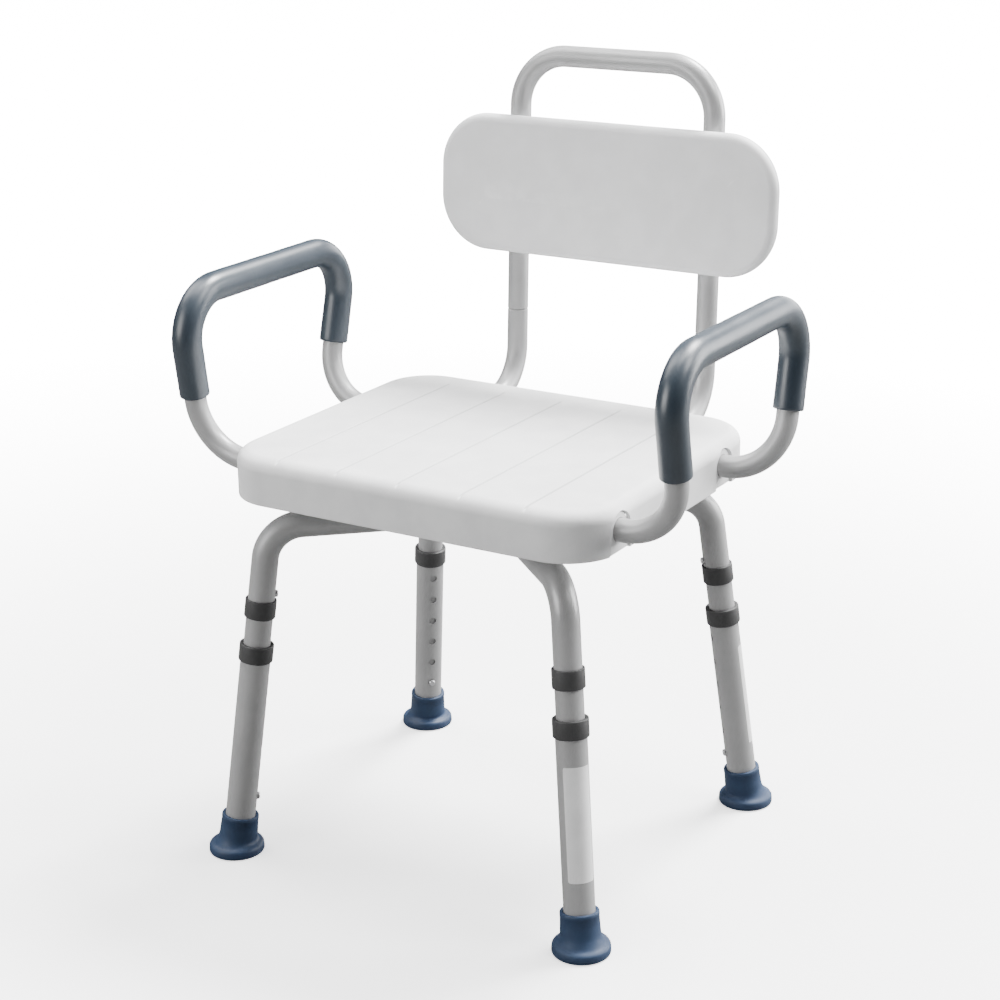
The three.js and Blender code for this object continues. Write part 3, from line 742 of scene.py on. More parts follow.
for name, side in (("left", -1), ("right", 1)):
    low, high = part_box("arm_tube_" + name)
    lowX = side * (max(abs(low.x), abs(high.x)) - tubeRadius)
    highX = side * (seatHalfX + armSizes["topReach"] * mm)
    endX = side * min(abs(low.x), abs(high.x))
    topZ = high.z - tubeRadius
    frontY = middle("arm_socket_front_" + name).y
    rearY = middle("arm_socket_rear_" + name).y
    topFront, topRear = low.y + tubeRadius, high.y - tubeRadius
    corners = [Vector((endX, frontY, socketZ)), Vector((lowX, frontY, socketZ)),
               Vector((highX, topFront, topZ)),
               Vector((highX, topRear, topZ)), Vector((lowX, rearY, socketZ)),
               Vector((endX, rearY, socketZ))]
    bends = [armSizes[k] * mm for k in ("lowBend", "topBend", "topBend", "lowBend")]
    path = BentPath(corners, bends)
    tube = makePiece("armTube" + name.capitalize(),
                     pipe(path, tubeRadius, tubeRadius - armSizes["wall"] * mm, armSizes["chamfer"] * mm,
                          sides=armSizes["sides"]))
    settle(tube, paint["satinTube"], "seat", ["arm_tube_" + name])
    share = gripSizes["rise"] * mm / (topZ - socketZ)
    gripPath = BentPath([corners[1].lerp(corners[2], share), corners[2], corners[3],
                         corners[4].lerp(corners[3], share)], bends[1:3])
    inner = tubeRadius + gripSizes["gap"] * mm
    outer = inner + gripSizes["thickness"] * mm
    length, soft = gripPath.length, gripSizes["round"] * mm
    profile = [(0.3 * mm, inner)]
    profile += [(soft * (1 - math.sin(a)), outer - soft * (1 - math.cos(a)))
                for a in (math.radians(d) for d in (90, 67, 45, 22))]
    for s in gripPath.stops(soft, length - soft, stretch=6 * mm):
        ripple = gripSizes["swell"] * mm * math.sin(s * 90 + 2 * side) * math.sin(s * 37)
        profile.append((s, outer + ripple - gripSizes["swell"] * mm))
    profile += [(length - soft * (1 - math.sin(a)), outer - soft * (1 - math.cos(a)))
                for a in (math.radians(d) for d in (22, 45, 67, 90))]
    profile += [(s, inner) for s in reversed(gripPath.stops(0.3 * mm, length - 0.3 * mm))][:-1]
    grip = makePiece("armGrip" + name.capitalize(), sweep(gripPath, profile, gripSizes["sides"]), 40)
    settle(grip, paint["gripFoam"], "seat", ["arm_grip_" + name])
print("arms and grips made")


# back

backSizes = {"lowBend": 48, "topBend": 50.5, "wall": 1.5, "gap": 0.3, "chamfer": 0.6, "spigot": 34,
             "joint": 83.5,
             "recline": 2.75, "buttonHole": 3.8, "sides": 72}
lean = math.radians(backSizes["recline"])
backUp = Vector((0, math.sin(lean), math.cos(lean)))
backRear = Vector((0, math.cos(lean), -math.sin(lean)))
handleLow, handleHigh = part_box("back_handle_tube")
lowerLow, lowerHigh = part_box("back_lower_tube_right")
spreadX = handleHigh.x - tubeRadius
backZ = lowerLow.z + tubeRadius
topAlong = (handleHigh.z - tubeRadius - backZ) / math.cos(lean)
footY = handleHigh.y - tubeRadius - math.sin(lean) * topAlong
backTurn = Matrix.Translation((0, footY, backZ)) @ Matrix.Rotation(-lean, 4, "X")


def upright(side, along, behind=0.0):
    return Vector((side * spreadX, footY, backZ)) + backUp * along + backRear * behind


joint = backSizes["joint"] * mm
buttonAlong = joint + backSizes["spigot"] * mm / 2
outer, wall = tubeRadius, backSizes["wall"] * mm
spigot = outer - wall - backSizes["gap"] * mm
for name, side in (("left", -1), ("right", 1)):
    start = Vector((side * spreadX, lowerLow.y, backZ))
    path = BentPath([start, upright(side, 0), upright(side, joint + backSizes["spigot"] * mm)],
                    [backSizes["lowBend"] * mm])
    shoulder = path.length - backSizes["spigot"] * mm
    skin = [(s, outer) for s in path.stops(0.6 * mm, shoulder - 0.9 * mm)]
    profile = [(0, outer - 0.6 * mm)] + skin + [(shoulder, outer - 0.9 * mm), (shoulder, spigot),
                                              (path.length - 1.2 * mm, spigot),
                                                (path.length, spigot - 0.8 * mm)]
    profile += [(s, spigot - wall) for s in reversed(path.stops(0, path.length))]
    tube = makePiece("backLowerTube" + name.capitalize(), sweep(path, profile, backSizes["sides"]))
    combine(tube, pegs([(upright(side, buttonAlong), backRear)], backSizes["buttonHole"] * mm, 2 * outer))
    settle(tube, paint["satinTube"], "seat", ["back_lower_tube_" + name], weighted=True)

corners = [upright(-1, joint + 0.3 * mm), upright(-1, topAlong), upright(1, topAlong),
           upright(1, joint + 0.3 * mm)]
path = BentPath(corners, [backSizes["topBend"] * mm] * 2)
handle = makePiece("backHandleTube",
                   pipe(path, outer, outer - wall, backSizes["chamfer"] * mm, sides=backSizes["sides"]))
combine(handle,
        pegs([(upright(s, buttonAlong), backRear) for s in (-1, 1)], backSizes["buttonHole"] * mm,
             2 * outer))
settle(handle, paint["satinTube"], "seat", ["back_handle_tube"], weighted=True)
print("back tubes made")

panelSizes = {"corner": 54, "edge": 8, "height": 138, "thickness": 16.5, "centre": 214,
              "recess": 1.2, "recessInset": 15, "seam": 0.35}
panelLow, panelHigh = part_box("back_panel")
panelHalf = (panelHigh.x - panelLow.x) / 2 / mm


def backPanel():
    # drawn in mm: x across, y up the back, z forward from the rear face
    edge, depth = panelSizes["edge"], panelSizes["thickness"]
    halfY = panelSizes["height"] / 2

    def level(inset, height):
        outline = roundedOutline(panelHalf - inset, halfY - inset, panelSizes["corner"] - inset, 28)
        return [Vector((x, y, height)) for x, y in outline]

    turns = [math.radians(90 * i / 10) for i in range(11)]
    deep, seam = panelSizes["recess"], panelSizes["seam"]
    rings = [level(panelSizes["recessInset"] + 2, deep), level(panelSizes["recessInset"] + 0.6, deep),
             level(panelSizes["recessInset"], deep * 0.5), level(panelSizes["recessInset"] - 0.6, 0)]
    rings += [level(edge * (1 - math.sin(a)), edge * (1 - math.cos(a))) for a in turns]
    middleZ = depth / 2
    rings += [level(0, middleZ - seam), level(seam, middleZ), level(0, middleZ + seam)]
    rings += [level(edge * (1 - math.cos(a)), depth - edge * (1 - math.sin(a))) for a in turns]
    for inset in (14, 24, 38, 54):
        rings.append(level(inset if inset < 54 else 53.5, depth))
    points, faces = loft(rings, closed=False)
    count = len(rings[0])
    faces.append(list(range(count)))
    faces.append([len(points) - count + i for i in range(count)])
    return points, faces


rearFace = -outer / mm - 0.3
turnPanel = backTurn @ Matrix.Translation((0, rearFace * mm,
                                           panelSizes["centre"] * mm)) @ Matrix.Rotation(math.pi / 2, 4,
                                                   "X")
scaleDown = Matrix.Diagonal((mm, mm, mm, 1))
panel = makePiece("backPanel", moved(backPanel(), turnPanel @ scaleDown), 40)
settle(panel, paint["backPlastic"], "seat", ["back_panel"], weighted=True)

saddleSizes = {"length": 92, "wall": 3.2, "flange": 11, "bevel": 0.5, "screws": (-32, 32)}


def saddle():
    # section in mm: x across, y behind the upright's centre line
    inner = outer / mm + 0.3
    skin = inner + saddleSizes["wall"]
    face = -inner + 0.2
    flange = face + saddleSizes["wall"]
    reach = skin + saddleSizes["flange"]
    outline = [(inner, face), (reach - 1, face), (reach, face + 1), (reach, flange - 1),
               (reach - 1, flange), (skin + 1, flange),
               (skin, flange + 1)]
    outline += [(skin * math.cos(a), skin * math.sin(a)) for a in (math.pi * i / 28 for i in range(29))]
    outline += [(-x, y) for x, y in reversed(outline[:7])]
    outline += [(inner * math.cos(a), inner * math.sin(a))
                for a in (math.pi - math.pi * i / 28 for i in range(29))]
    half = saddleSizes["length"] / 2
    return prism(outline, panelSizes["centre"] - half, panelSizes["centre"] + half, 0)


def screw(radius=3.6, height=2.2):
    # pan head with a cross recess, in mm, pointing up z
    head = [(0, 0), (0, radius), (0.3, radius)]
    head += [(0.3 + (height - 0.3) * math.sin(a), 0.15 + (radius - 0.15) * math.cos(a))
             for a in (math.radians(d) for d in (12, 25, 40, 55, 70, 82))] + [(height, 0)]
    return turned(Vector((0, 0, 0)), up, head, 40)


def crossCut(radius, height, arm=2.1, half=0.42):
    bars = [prism([(-arm, -half), (arm, -half), (arm, half), (-arm, half)], height - 1.0, height + 1, 0),
            prism([(-half, -arm), (half, -arm), (half, arm), (-half, arm)], height - 1.0, height + 1, 0)]
    return [([p * mm for p in pts], fcs) for pts, fcs in bars]


def addScrew(name, place, way, body, radius=3.6, height=2.2):
    piece = makePiece(name, screw(radius, height))
    for bar in crossCut(radius, height, arm=radius * 0.58):
        combine(piece, bar, angle=30)
    turn = up.rotation_difference(way).to_matrix().to_4x4()
    piece.data.transform(Matrix.Translation(place) @ turn)
    settle(piece, paint["springSteel"], body, ())
    return piece


for name, side in (("left", -1), ("right", 1)):
    place = backTurn @ Matrix.Translation((side * spreadX, 0, 0)) @ scaleDown
    cover = makePiece("panelSaddle" + name.capitalize(), moved(saddle(), place), 34)
    settle(cover, paint["backPlastic"], "seat", ["back_panel_saddle_" + name])
    bevel = cover.modifiers.new("edges", "BEVEL")
    bevel.width = saddleSizes["bevel"] * mm
    bevel.segments = 2
    bevel.limit_method = "ANGLE"
    bevel.angle_limit = math.radians(50)
    flangeFace = (-outer / mm - 0.3 + 0.2 + saddleSizes["wall"]) * mm
    sideOut = outer + 0.3 * mm + (saddleSizes["wall"] + saddleSizes["flange"] / 2 + 0.4) * mm
    for i, along in enumerate(saddleSizes["screws"]):
        for j, across in enumerate((-1, 1)):
            spot = upright(side, (panelSizes["centre"] + along) * mm,
                           flangeFace) + Vector((across * sideOut, 0, 0))
            addScrew(f"saddleScrew{name.capitalize()}{i}{j}", spot, backRear, "seat")
print("panel and saddles made")


# legs

legSizes = {"tube": 25.4, "wall": 1.2, "outerTube": 28.6, "bend": 36, "innerEnd": 34, "joint": 251.57,
            "gap": 0.3,
            "spigot": 34, "innerBottom": 42, "outerBottom": 8.8, "outerTop": 208.07, "lowestHole": 57.5,
            "pitch": 25.4, "holes": 6, "hole": 3.8, "jointButton": 266.07, "sides": 64}
collarSizes = {"bottom": 198.57, "top": 215.57, "radius": 16.3, "jointLength": 18, "jointRadius": 14.8}
footSizes = {"flange": 26.7, "flangeHeight": 9.5, "sleeve": 17.3, "top": 38.5, "pad": 8.5, "treadRings": 3}
labelSizes = {"first": 68, "last": 174, "spread": 110, "lift": 0.12, "corner": 2.0}
clipSizes = {"button": 3.4, "proud": 2.6, "leaf": 0.9, "width": 7, "length": 26}

slides = {j["child"]: j for j in frame["joints"] if j["name"].startswith("leg_extend")}
presses = {j["child"]: j for j in frame["joints"] if "press" in j["name"]}
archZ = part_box("upper_leg_tube_front_left")[1].z - legSizes["tube"] / 2 * mm


def legLine(place):
    # foot centre on the floor, direction up the leg, and the direction the buttons are pressed in
    base = middle("foot_" + place)
    base.z = 0
    rise = -Vector(slides["leg_" + place]["axis"]).normalized()
    press = Vector(presses["height_button_" + place]["axis"]).normalized()
    return base, rise, press


def collar(base, rise, first, last, radius, bore, step=None, seat=0.0):
    # bore is the tighter radius above step, seat the wider one below it
    foot = seat or bore
    edge = min(1.0, (radius - foot) * 0.6)
    turns = [math.radians(d) for d in (0, 30, 60, 90)]
    profile = [(first + edge * 0.4, foot), (first, foot + edge * 0.3)]
    profile += [(first + edge * (1 - math.cos(a)), radius - edge * (1 - math.sin(a))) for a in turns]
    profile += [(last - edge * (1 - math.sin(a)), radius - edge * (1 - math.cos(a))) for a in turns]
    profile += [(last, bore + 0.4), (last - 0.4, bore)]
    if step:
        profile += [(step, bore), (step, seat)]
    return turned(base, rise, profile, 72)


def footShape(base, rise):
    # rings that turn from flat on the floor to square with the leaning sleeve
    def levelRing(z, radius, lean):
        way = up.lerp(rise, lean).normalized()
        side = Vector((1, 0, 0)) - way * way.x
        centre = base + rise * (z * mm)
        centre = centre.lerp(base + up * (z * mm), 1 - lean) if lean < 1 else centre
        return ringAt(centre, way, side.normalized(), radius * mm, 80)

    flange, sleeve, topZ = footSizes["flange"], footSizes["sleeve"], footSizes["top"]
    bore = legSizes["outerTube"] / 2 + legSizes["gap"]
    thick = footSizes["flangeHeight"]
    rings = [[base.copy()]]
    for i in range(footSizes["treadRings"]):
        r = 5.5 + 6 * i
        rings += [levelRing(0, r, 0), levelRing(0.9, r + 0.5, 0), levelRing(0.9, r + 2.0, 0),
                  levelRing(0, r + 2.5, 0)]
    rings += [levelRing(0, flange - 1.6, 0), levelRing(0.5, flange - 0.5, 0), levelRing(1.5, flange, 0),
              levelRing(3.4, flange, 0), levelRing(thick - 2.6, flange - 0.3, 0),
              levelRing(thick - 1.2, flange - 1.1, 0),
              levelRing(thick - 0.2, flange - 2.6, 0.02)]
    # concave sweep from the flange into the sleeve
    for i in range(1, 9):
        a = math.radians(90 * i / 9)
        r = sleeve + 1.2 + (flange - 3.0 - sleeve - 1.2) * (1 - math.sin(a))
        z = thick + 8.0 * (1 - math.cos(a))
        rings.append(levelRing(z, r, fade((z - thick) / 8.0)))
    rings += [levelRing(19, sleeve + 1.1, 1), levelRing(26, sleeve + 0.75, 1),
              levelRing(topZ - 4.4, sleeve + 0.3, 1),
              levelRing(topZ - 3.9, sleeve + 0.6, 1), levelRing(topZ - 1.0, sleeve + 0.5, 1),
              levelRing(topZ - 0.3, sleeve + 0.1, 1), levelRing(topZ, sleeve - 0.7, 1),
              levelRing(topZ, bore + 0.5, 1),
              levelRing(topZ - 0.5, bore, 1), levelRing(footSizes["pad"], bore, 1)]
    rings.append([base + rise * (footSizes["pad"] * mm)])
    return loft(rings, closed=False)


def clipShape(centre, along, press, bore, proud):
    # a leaf folded back on itself, and a domed button that points against the press direction
    side = along.cross(press).normalized()
    near, far = -bore + 1.3, bore - 2.0
    leaf, length = clipSizes["leaf"], clipSizes["length"]
    turns = [math.pi * i / 12 for i in range(13)]
    mid, reach = (near + far) / 2, (far - near) / 2
    line = [(near, -length / 4), (near, length - reach)]
    line += [(mid - reach * math.cos(a), length - reach + reach * math.sin(a)) for a in turns[1:]]
    line += [(far, length * 0.3), (far, 0)]
    half = clipSizes["width"] / 2
    rings = []
    for i, (x, z) in enumerate(line):
        a, b = line[max(0, i - 1)], line[min(len(line) - 1, i + 1)]
        way = Vector((b[0] - a[0], b[1] - a[1])).normalized()
        out = Vector((-way.y, way.x)) * leaf / 2
        section = []
        for sx, sy in ((1, 1), (-1, 1), (-1, -1), (1, -1)):
            p = press * (x + out.x * sx) + along * (z + out.y * sx) + side * (half * sy)
            section.append(centre + p * mm)
        rings.append(section)
    points, faces = loft(rings, closed=False)
    faces.append([3, 2, 1, 0])
    faces.append([len(points) - 4 + i for i in range(4)])
    r = clipSizes["button"]
    dome = [(proud - 1.6 + 1.6 * math.sin(a), r - 1.6 + 1.6 * math.cos(a))
            for a in (math.radians(d) for d in (0, 25, 50, 70, 90))]
    profile = [(-near - 0.1, 0), (-near - 0.1, r)] + dome + [(proud + 0.15, 0)]
    return gather((points, faces), turned(centre, -press, profile, 40))


def addClip(node, body, centre, along, press, bore, proud):
    clip = makePiece(titled(node), clipShape(centre, along, press, bore, proud))
    settle(clip, paint["springSteel"], body, [node])
    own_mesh(clip)


for place in ("front_left", "front_right", "back_right", "back_left"):
    base, rise, press = legLine(place)
    title = titled(place)
    tube, wall = legSizes["tube"] / 2, legSizes["wall"]
    joint = legSizes["joint"]
    knee = base + rise * (archZ / rise.z)
    flat = Vector((knee.x, knee.y - axisY, 0))
    flat = flat.normalized()
    start = Vector((0, axisY, archZ)) + flat * legSizes["innerEnd"] * mm
    path = BentPath([start, knee, base + rise * ((joint + legSizes["gap"]) * mm)], [legSizes["bend"] * mm])
    upper = makePiece("upperLegTube" + title,
                      pipe(path, tube * mm, (tube - wall) * mm, 0.6 * mm, sides=legSizes["sides"],
                           turn=3.0))
    combine(upper,
            pegs([(base + rise * (legSizes["jointButton"] * mm), -press)], legSizes["hole"] * mm, 30 * mm))
    settle(upper, paint["satinTube"], "base", ["upper_leg_tube_" + place], weighted=True)

    spigot = tube - wall - legSizes["gap"]
    bore = spigot - wall
    first, end = legSizes["innerBottom"], joint + legSizes["spigot"]
    profile = [(first, tube - 0.5), (first + 0.5, tube)] + [(first + 0.5 + 12 * i, tube)
                                                            for i in range(1, 17)]
    profile += [(joint - 0.5, tube), (joint, tube - 0.5), (joint, spigot), (end - 1, spigot),
                (end, spigot - 0.8), (end, bore)]
    profile += [(end - 14 * i, bore) for i in range(1, 17)] + [(first, bore)]
    inner = makePiece("innerLegTube" + title, turned(base, rise, profile, legSizes["sides"]))
    cuts = [(base + rise * (h * mm), -press) for h in (legSizes["lowestHole"], legSizes["jointButton"])]
    combine(inner, pegs(cuts, legSizes["hole"] * mm, 30 * mm))
    settle(inner, paint["satinTube"], "base", ["inner_leg_tube_" + place], weighted=True)

    outside = legSizes["outerTube"] / 2
    first, last = legSizes["outerBottom"], legSizes["outerTop"]
    rows = 40
    profile = [(first, outside - 0.4)] + [(first + 0.4 + (last - first - 0.8) * i / rows, outside)
                                          for i in range(rows + 1)]
    profile += [(last, outside - 0.4)] + [(last - (last - first) * i / 12, outside - wall)
                                          for i in range(13)]
    lower = makePiece("outerLegTube" + title, turned(base, rise, profile, legSizes["sides"]))
    holes = [(base + rise * ((legSizes["lowestHole"] + i * legSizes["pitch"]) * mm), -press)
             for i in range(legSizes["holes"])]
    combine(lower, pegs(holes, legSizes["hole"] * mm, 30 * mm, 40))
    settle(lower, paint["satinTube"], "leg_" + place, ["outer_leg_tube_" + place],
           weighted=True)

    ring = makePiece("outerLegCollar" + title,
                     collar(base, rise, collarSizes["bottom"], collarSizes["top"], collarSizes["radius"],
                                                      tube + 0.3, legSizes["outerTop"] + 0.3, outside
                            + 0.3))
    settle(ring, paint["collarPlastic"], "leg_" + place, ["outer_leg_collar_" + place])
    half = collarSizes["jointLength"] / 2
    ring = makePiece("jointCollar" + title,
                     collar(base, rise, joint - half, joint + half, collarSizes["jointRadius"], tube + 0.3))
    settle(ring, paint["collarPlastic"], "base", ["joint_collar_" + place])
    tip = makePiece("foot" + title, footShape(base, rise), 38)
    settle(tip, paint["footRubber"], "leg_" + place, ["foot_" + place])

    clipBore = tube - 2 * wall - legSizes["gap"]
    addClip("height_clip_" + place, "height_button_" + place,
            base + rise * (legSizes["lowestHole"] * mm), rise, press, clipBore, outside
            + clipSizes["proud"])
    addClip("joint_clip_" + place, "joint_button_" + place,
            base + rise * (legSizes["jointButton"] * mm), rise, press, clipBore, tube + clipSizes["proud"])
    print("leg made:", place)

for name, side in (("left", -1), ("right", 1)):
    addClip("back_clip_" + name, "back_button_" + name,
            upright(side, buttonAlong),
            backUp, -backRear, outer / mm - 2 * backSizes["wall"] - 0.3, outer / mm + clipSizes["proud"])


def labelShape(base, rise, press):
    # a blank sticker wrapped on the outward side of a leg, with rounded corners
    half = math.radians(labelSizes["spread"]) / 2
    radius = legSizes["outerTube"] / 2 + labelSizes["lift"]
    first, last, corner = labelSizes["first"], labelSizes["last"], labelSizes["corner"]
    outward = (press - rise * press.dot(rise)).normalized()
    across = rise.cross(outward)
    rows = [first + corner * (1 - math.cos(a)) for a in (math.radians(d) for d in (0, 30, 60, 90))]
    rows += [first + corner + (last - first - 2 * corner) * i / 20 for i in range(1, 20)]
    rows += [last - corner * (1 - math.sin(a)) for a in (math.radians(d) for d in (0, 30, 60, 90))]
    rings = []
    for z in rows:
        near = min(z - first, last - z)
        trim = corner - math.sqrt(max(0.0, corner ** 2 - (corner - near) ** 2)) if near < corner else 0.0
        reach = half - trim / radius
        front, rear = [], []
        for i in range(33):
            a = -reach + 2 * reach * i / 32
            way = outward * math.cos(a) + across * math.sin(a)
            front.append(base + rise * (z * mm) + way * (radius * mm))
            rear.append(base + rise * (z * mm) + way * ((radius - labelSizes["lift"] + 0.02) * mm))
        rings.append(front + rear[::-1])
    points, faces = loft(rings, closed=False)
    count = len(rings[0])
    faces.append(list(range(count)))
    faces.append([len(points) - count + i for i in range(count)])
    return points, faces


for place in ("front_right", "back_right"):
    base, rise, press = legLine(place)
    title = titled(place)
    sticker = makePiece("blankLabel" + title, labelShape(base, rise, press))
    settle(sticker, paint["labelPaper"], "leg_" + place)
print("clips and labels made")


# swivel

swivelSizes = {"corner": 16, "boltHole": 5.4, "balls": 30, "ballRadius": 1.45, "ballCircle": 49,
               "pocket": 1.6, "raceBevel": 0.5, "raceBore": 40, "cage": (45, 53), "plateBevel": 0.4,
               "hexAcross": 9}


def plateShape(node):
    low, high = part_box(node)
    halfX, halfY = (high.x - low.x) / 2 / mm, (high.y - low.y) / 2 / mm
    outline = roundedOutline(halfX, halfY, swivelSizes["corner"])
    return atAxis(prism(outline, low.z / mm, high.z / mm, swivelSizes["plateBevel"]))


for node, body in (("lower_swivel_plate", "base"), ("upper_swivel_plate", "seat")):
    low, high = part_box(node)
    plate = makePiece(titled(node), plateShape(node))
    axis = Vector((0, axisY, low.z - mm))
    combine(plate, pegs([(axis, up)], swivelSizes["boltHole"] * mm, 6 * mm, 48))
    settle(plate, paint["zincPlate"], body, [node], weighted=True)

raceLow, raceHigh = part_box("lower_bearing_race")
raceOuter = (raceHigh.x - raceLow.x) / 2 / mm
for node, body, flip in (("lower_bearing_race", "base", False), ("upper_bearing_race", "seat", True)):
    low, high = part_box(node)
    height = (high.z - low.z) / mm
    b, raceBore, circle = swivelSizes["raceBevel"], swivelSizes["raceBore"], swivelSizes["ballCircle"]
    profile = [(0, raceBore + b), (0, raceOuter - b), (b, raceOuter), (height - b, raceOuter),
               (height, raceOuter - b)]
    profile += [(height - dip, circle + out) for dip,
                out in ((0, 3.5), (0.7, 2), (0.9, 0), (0.7, -2), (0, -3.5))]
    profile += [(height, raceBore + b), (height - b, raceBore), (b, raceBore)]
    if flip:
        profile = [(height - h, r) for h, r in profile]
    race = makePiece(titled(node), turned(Vector((0, axisY, low.z)), up, profile, 96))
    settle(race, paint["springSteel"], body, [node])

low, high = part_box("ball_ring")
height = (high.z - low.z) / mm
cageIn, cageOut = swivelSizes["cage"]
circle = swivelSizes["ballCircle"] * mm
cage = makePiece("ballRing", turned(Vector((0, axisY, low.z)), up,
                                    [(h, r) for h,
                                     r in ((0.7, cageIn), (0.7, cageOut), (height - 0.7, cageOut),
                                                          (height - 0.7, cageIn))], 96))
pockets, balls = [], []
for i in range(swivelSizes["balls"]):
    a = 2 * math.pi * i / swivelSizes["balls"]
    centre = Vector((circle * math.cos(a), axisY + circle * math.sin(a), (low.z + high.z) / 2))
    pockets.append((centre - up * 3 * mm, up))
    r = swivelSizes["ballRadius"]
    arc = [(r * (1 - math.cos(t)), r * math.sin(t)) for t in (math.pi * k / 12 for k in range(13))]
    arc = [(h, 0 if k in (0, 12) else radius) for k, (h, radius) in enumerate(arc)]
    balls.append(turned(centre - up * r * mm, up, arc, 20))
combine(cage, pegs(pockets, swivelSizes["pocket"] * mm, 6 * mm, 20))
settle(cage, paint["collarPlastic"], "base", ["ball_ring"])
bearing = makePiece("bearingBalls", gather(*balls))
settle(bearing, paint["springSteel"], "base", ())


def hexOutline(across):
    return [(across * math.cos(a), across * math.sin(a)) for a in (math.pi / 3 * i for i in range(6))]


low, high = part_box("pivot_bolt")
head = atAxis(prism(hexOutline(swivelSizes["hexAcross"]), low.z / mm, low.z / mm + 6, 0.7))
bolt = makePiece("pivotBolt", head)
shank = high.z / mm - low.z / mm
threads = [(5.5, 0), (5.5, 5)]
for i in range(int((shank - 16) / 1.5)):
    threads += [(14 + 1.5 * i, 5), (14.75 + 1.5 * i, 4.5)]
threads += [(shank - 1, 5), (shank, 4.2), (shank, 0)]
combine(bolt, turned(Vector((0, axisY, low.z)), up, threads, 48), "UNION")
settle(bolt, paint["springSteel"], "base", ["pivot_bolt"])
low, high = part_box("pivot_nut")
nut = makePiece("pivotNut",
                atAxis(prism(hexOutline(swivelSizes["hexAcross"]), low.z / mm, high.z / mm, 0.8)))
combine(nut, pegs([(Vector((0, axisY, low.z - mm)), up)], 5.3 * mm, 12 * mm, 48))
settle(nut, paint["springSteel"], "base", ["pivot_nut"])
print("swivel made")


# floor, light and camera

# the floor glows to the camera though it is no lamp, less near the chair: painted shade round the chair
stageSizes = {"floor": 80.0, "floorColor": (0.92, 0.92, 0.925), "bounceColor": (0.14, 0.14, 0.14),
              "glow": (1.5, 16.0),
              "glowFrom": (0.4, 2.6)}
lights = {
    "overhead": {"place": (0, 0, 4.2), "aim": (0, 0, 0.3), "size": (1.4, 1.4), "power": 80},
    "overheadLeft": {"place": (-1.4, 0, 2.3), "aim": (0, 0, 0.4), "size": (1.2, 2.0), "power": 60},
    "highRear": {"place": (0.6, 2.2, 4.0), "aim": (0, 0, 0.3), "size": (1.4, 1.4), "power": 700},
    "highRight": {"place": (2.2, 0.4, 3.0), "aim": (0, 0, 0.3), "size": (1.2, 1.2), "power": 80},
    "rightRear": {"place": (1.9, 1.7, 1.1), "aim": (0, 0, 0.4), "size": (1.2, 1.6), "power": 110},
    "frontLeft": {"place": (-1.4, -2.4, 1.3), "aim": (0, 0, 0.4), "size": (1.6, 1.6), "power": 67},
    "backLow": {"place": (0.3, 3.2, 1.0), "aim": (0, 0, 0.4), "size": (2.4, 1.2), "power": 66},
}
world = {"color": (1.0, 1.0, 1.0), "strength": 0.04, "backdrop": 16.0}
cameraSizes = {"place": (1.0261, -1.6951, 1.0103), "azimuth": 31.4, "elevation": 18.935, "roll": -0.7,
               "lens": 79.16,
               "sensor": 36.0}

reach = stageSizes["floor"] / 2
floorCorners = [Vector((x * reach, y * reach, 0)) for x, y in ((-1, -1), (1, -1), (1, 1), (-1, 1))]
floor = makePiece("floor", (floorCorners, [[0, 1, 2, 3]]))
floorPaint = bpy.data.materials.new("paleFloor")
floorPaint.use_nodes = True
floorTree = floorPaint.node_tree
floorShader = floorTree.nodes["Principled BSDF"]
floorShader.inputs["Roughness"].default_value = 0.75
floorShader.inputs["Specular IOR Level"].default_value = 0.1
floorShader.inputs["Emission Color"].default_value = (1, 1, 1, 1)
seen = floorTree.nodes.new("ShaderNodeLightPath").outputs["Is Camera Ray"]
floorTree.links.new(mixColor(floorTree, seen, stageSizes["bounceColor"], stageSizes["floorColor"]),
                    floorShader.inputs["Base Color"])
# painted shade round the chair: the camera-only glow grows with distance from the chair
distance = floorTree.nodes.new("ShaderNodeVectorMath")
distance.operation = "LENGTH"
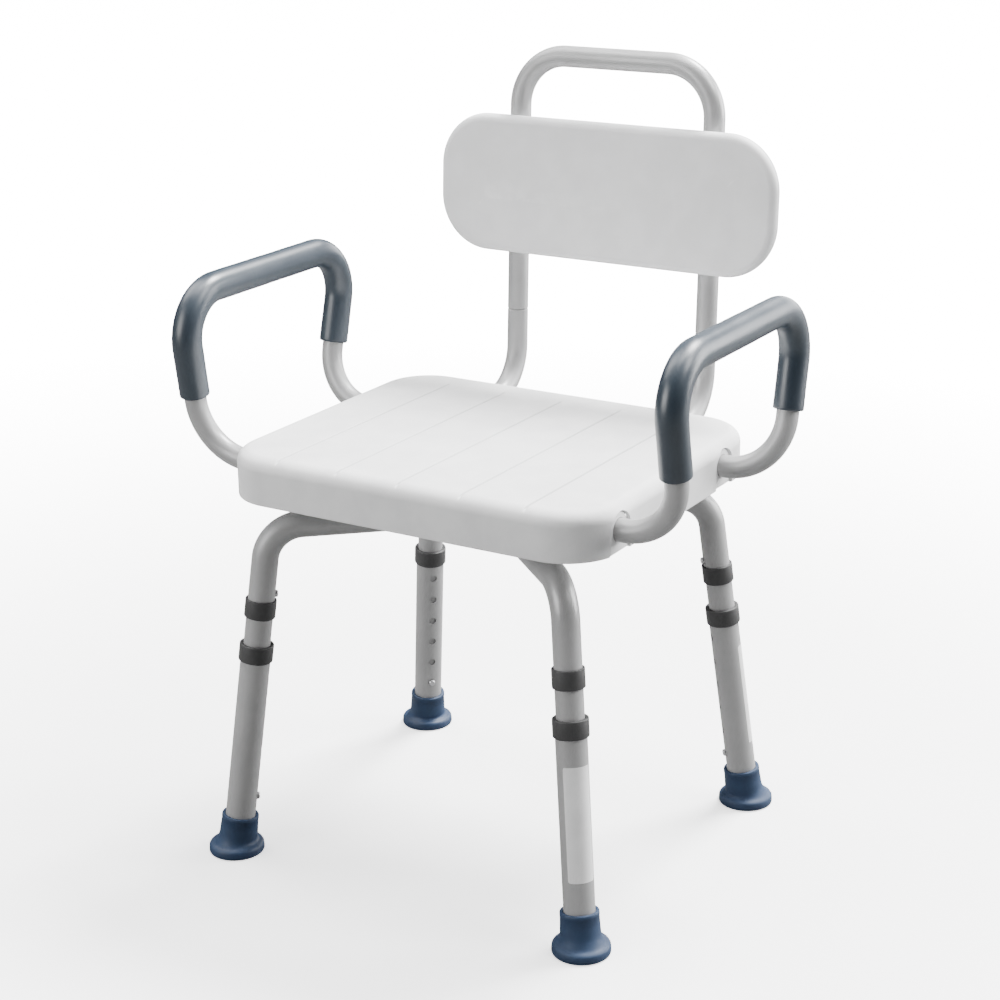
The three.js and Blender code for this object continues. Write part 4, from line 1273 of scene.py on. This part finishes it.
floorTree.links.new(floorTree.nodes.new("ShaderNodeTexCoord").outputs["Object"], distance.inputs[0])
near, far = stageSizes["glow"]
glow = spread(floorTree, distance.outputs["Value"], *stageSizes["glowFrom"], near, far)
floorTree.links.new(calc(floorTree, "MULTIPLY", seen, glow), floorShader.inputs["Emission Strength"])
floor.data.materials.append(floorPaint)
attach(floor, "leg_front_right")  # so that it drops with the legs when they are drawn out

for name, look in lights.items():
    data = bpy.data.lights.new(name, "AREA")
    data.shape = "RECTANGLE"
    data.size, data.size_y = look["size"]
    data.energy = look["power"]
    lamp = bpy.data.objects.new(name, data)
    lamp.location = look["place"]
    lamp.visible_camera = False
    lamp.rotation_mode = "QUATERNION"
    lamp.rotation_quaternion = (Vector(look["aim"]) - Vector(look["place"])).to_track_quat("-Z", "Y")
    bpy.context.scene.collection.objects.link(lamp)

sky = bpy.data.worlds.new("studio")
sky.use_nodes = True
backdrop = sky.node_tree.nodes["Background"]
backdrop.inputs["Color"].default_value = (*world["color"], 1)
seen = sky.node_tree.nodes.new("ShaderNodeLightPath").outputs["Is Camera Ray"]
glow = calc(sky.node_tree, "MULTIPLY", seen, world["backdrop"] - world["strength"])
sky.node_tree.links.new(calc(sky.node_tree, "ADD", glow, world["strength"]), backdrop.inputs["Strength"])
bpy.context.scene.world = sky

azimuth, elevation, roll = (math.radians(cameraSizes[k]) for k in ("azimuth", "elevation", "roll"))
away = Vector((math.sin(azimuth) * math.cos(elevation), -math.cos(azimuth) * math.cos(elevation),
               math.sin(elevation)))
level = Vector((math.cos(azimuth), math.sin(azimuth), 0))
lift = away.cross(level)
right = level * math.cos(roll) + lift * math.sin(roll)
above = -level * math.sin(roll) + lift * math.cos(roll)
cameraData = bpy.data.cameras.new("studioCamera")
cameraData.lens, cameraData.sensor_width = cameraSizes["lens"], cameraSizes["sensor"]
camera = bpy.data.objects.new("studioCamera", cameraData)
camera.matrix_world = Matrix((right, above, away)).transposed().to_4x4()
camera.location = cameraSizes["place"]
bpy.context.scene.collection.objects.link(camera)
bpy.context.scene.camera = camera

print("scene finished")
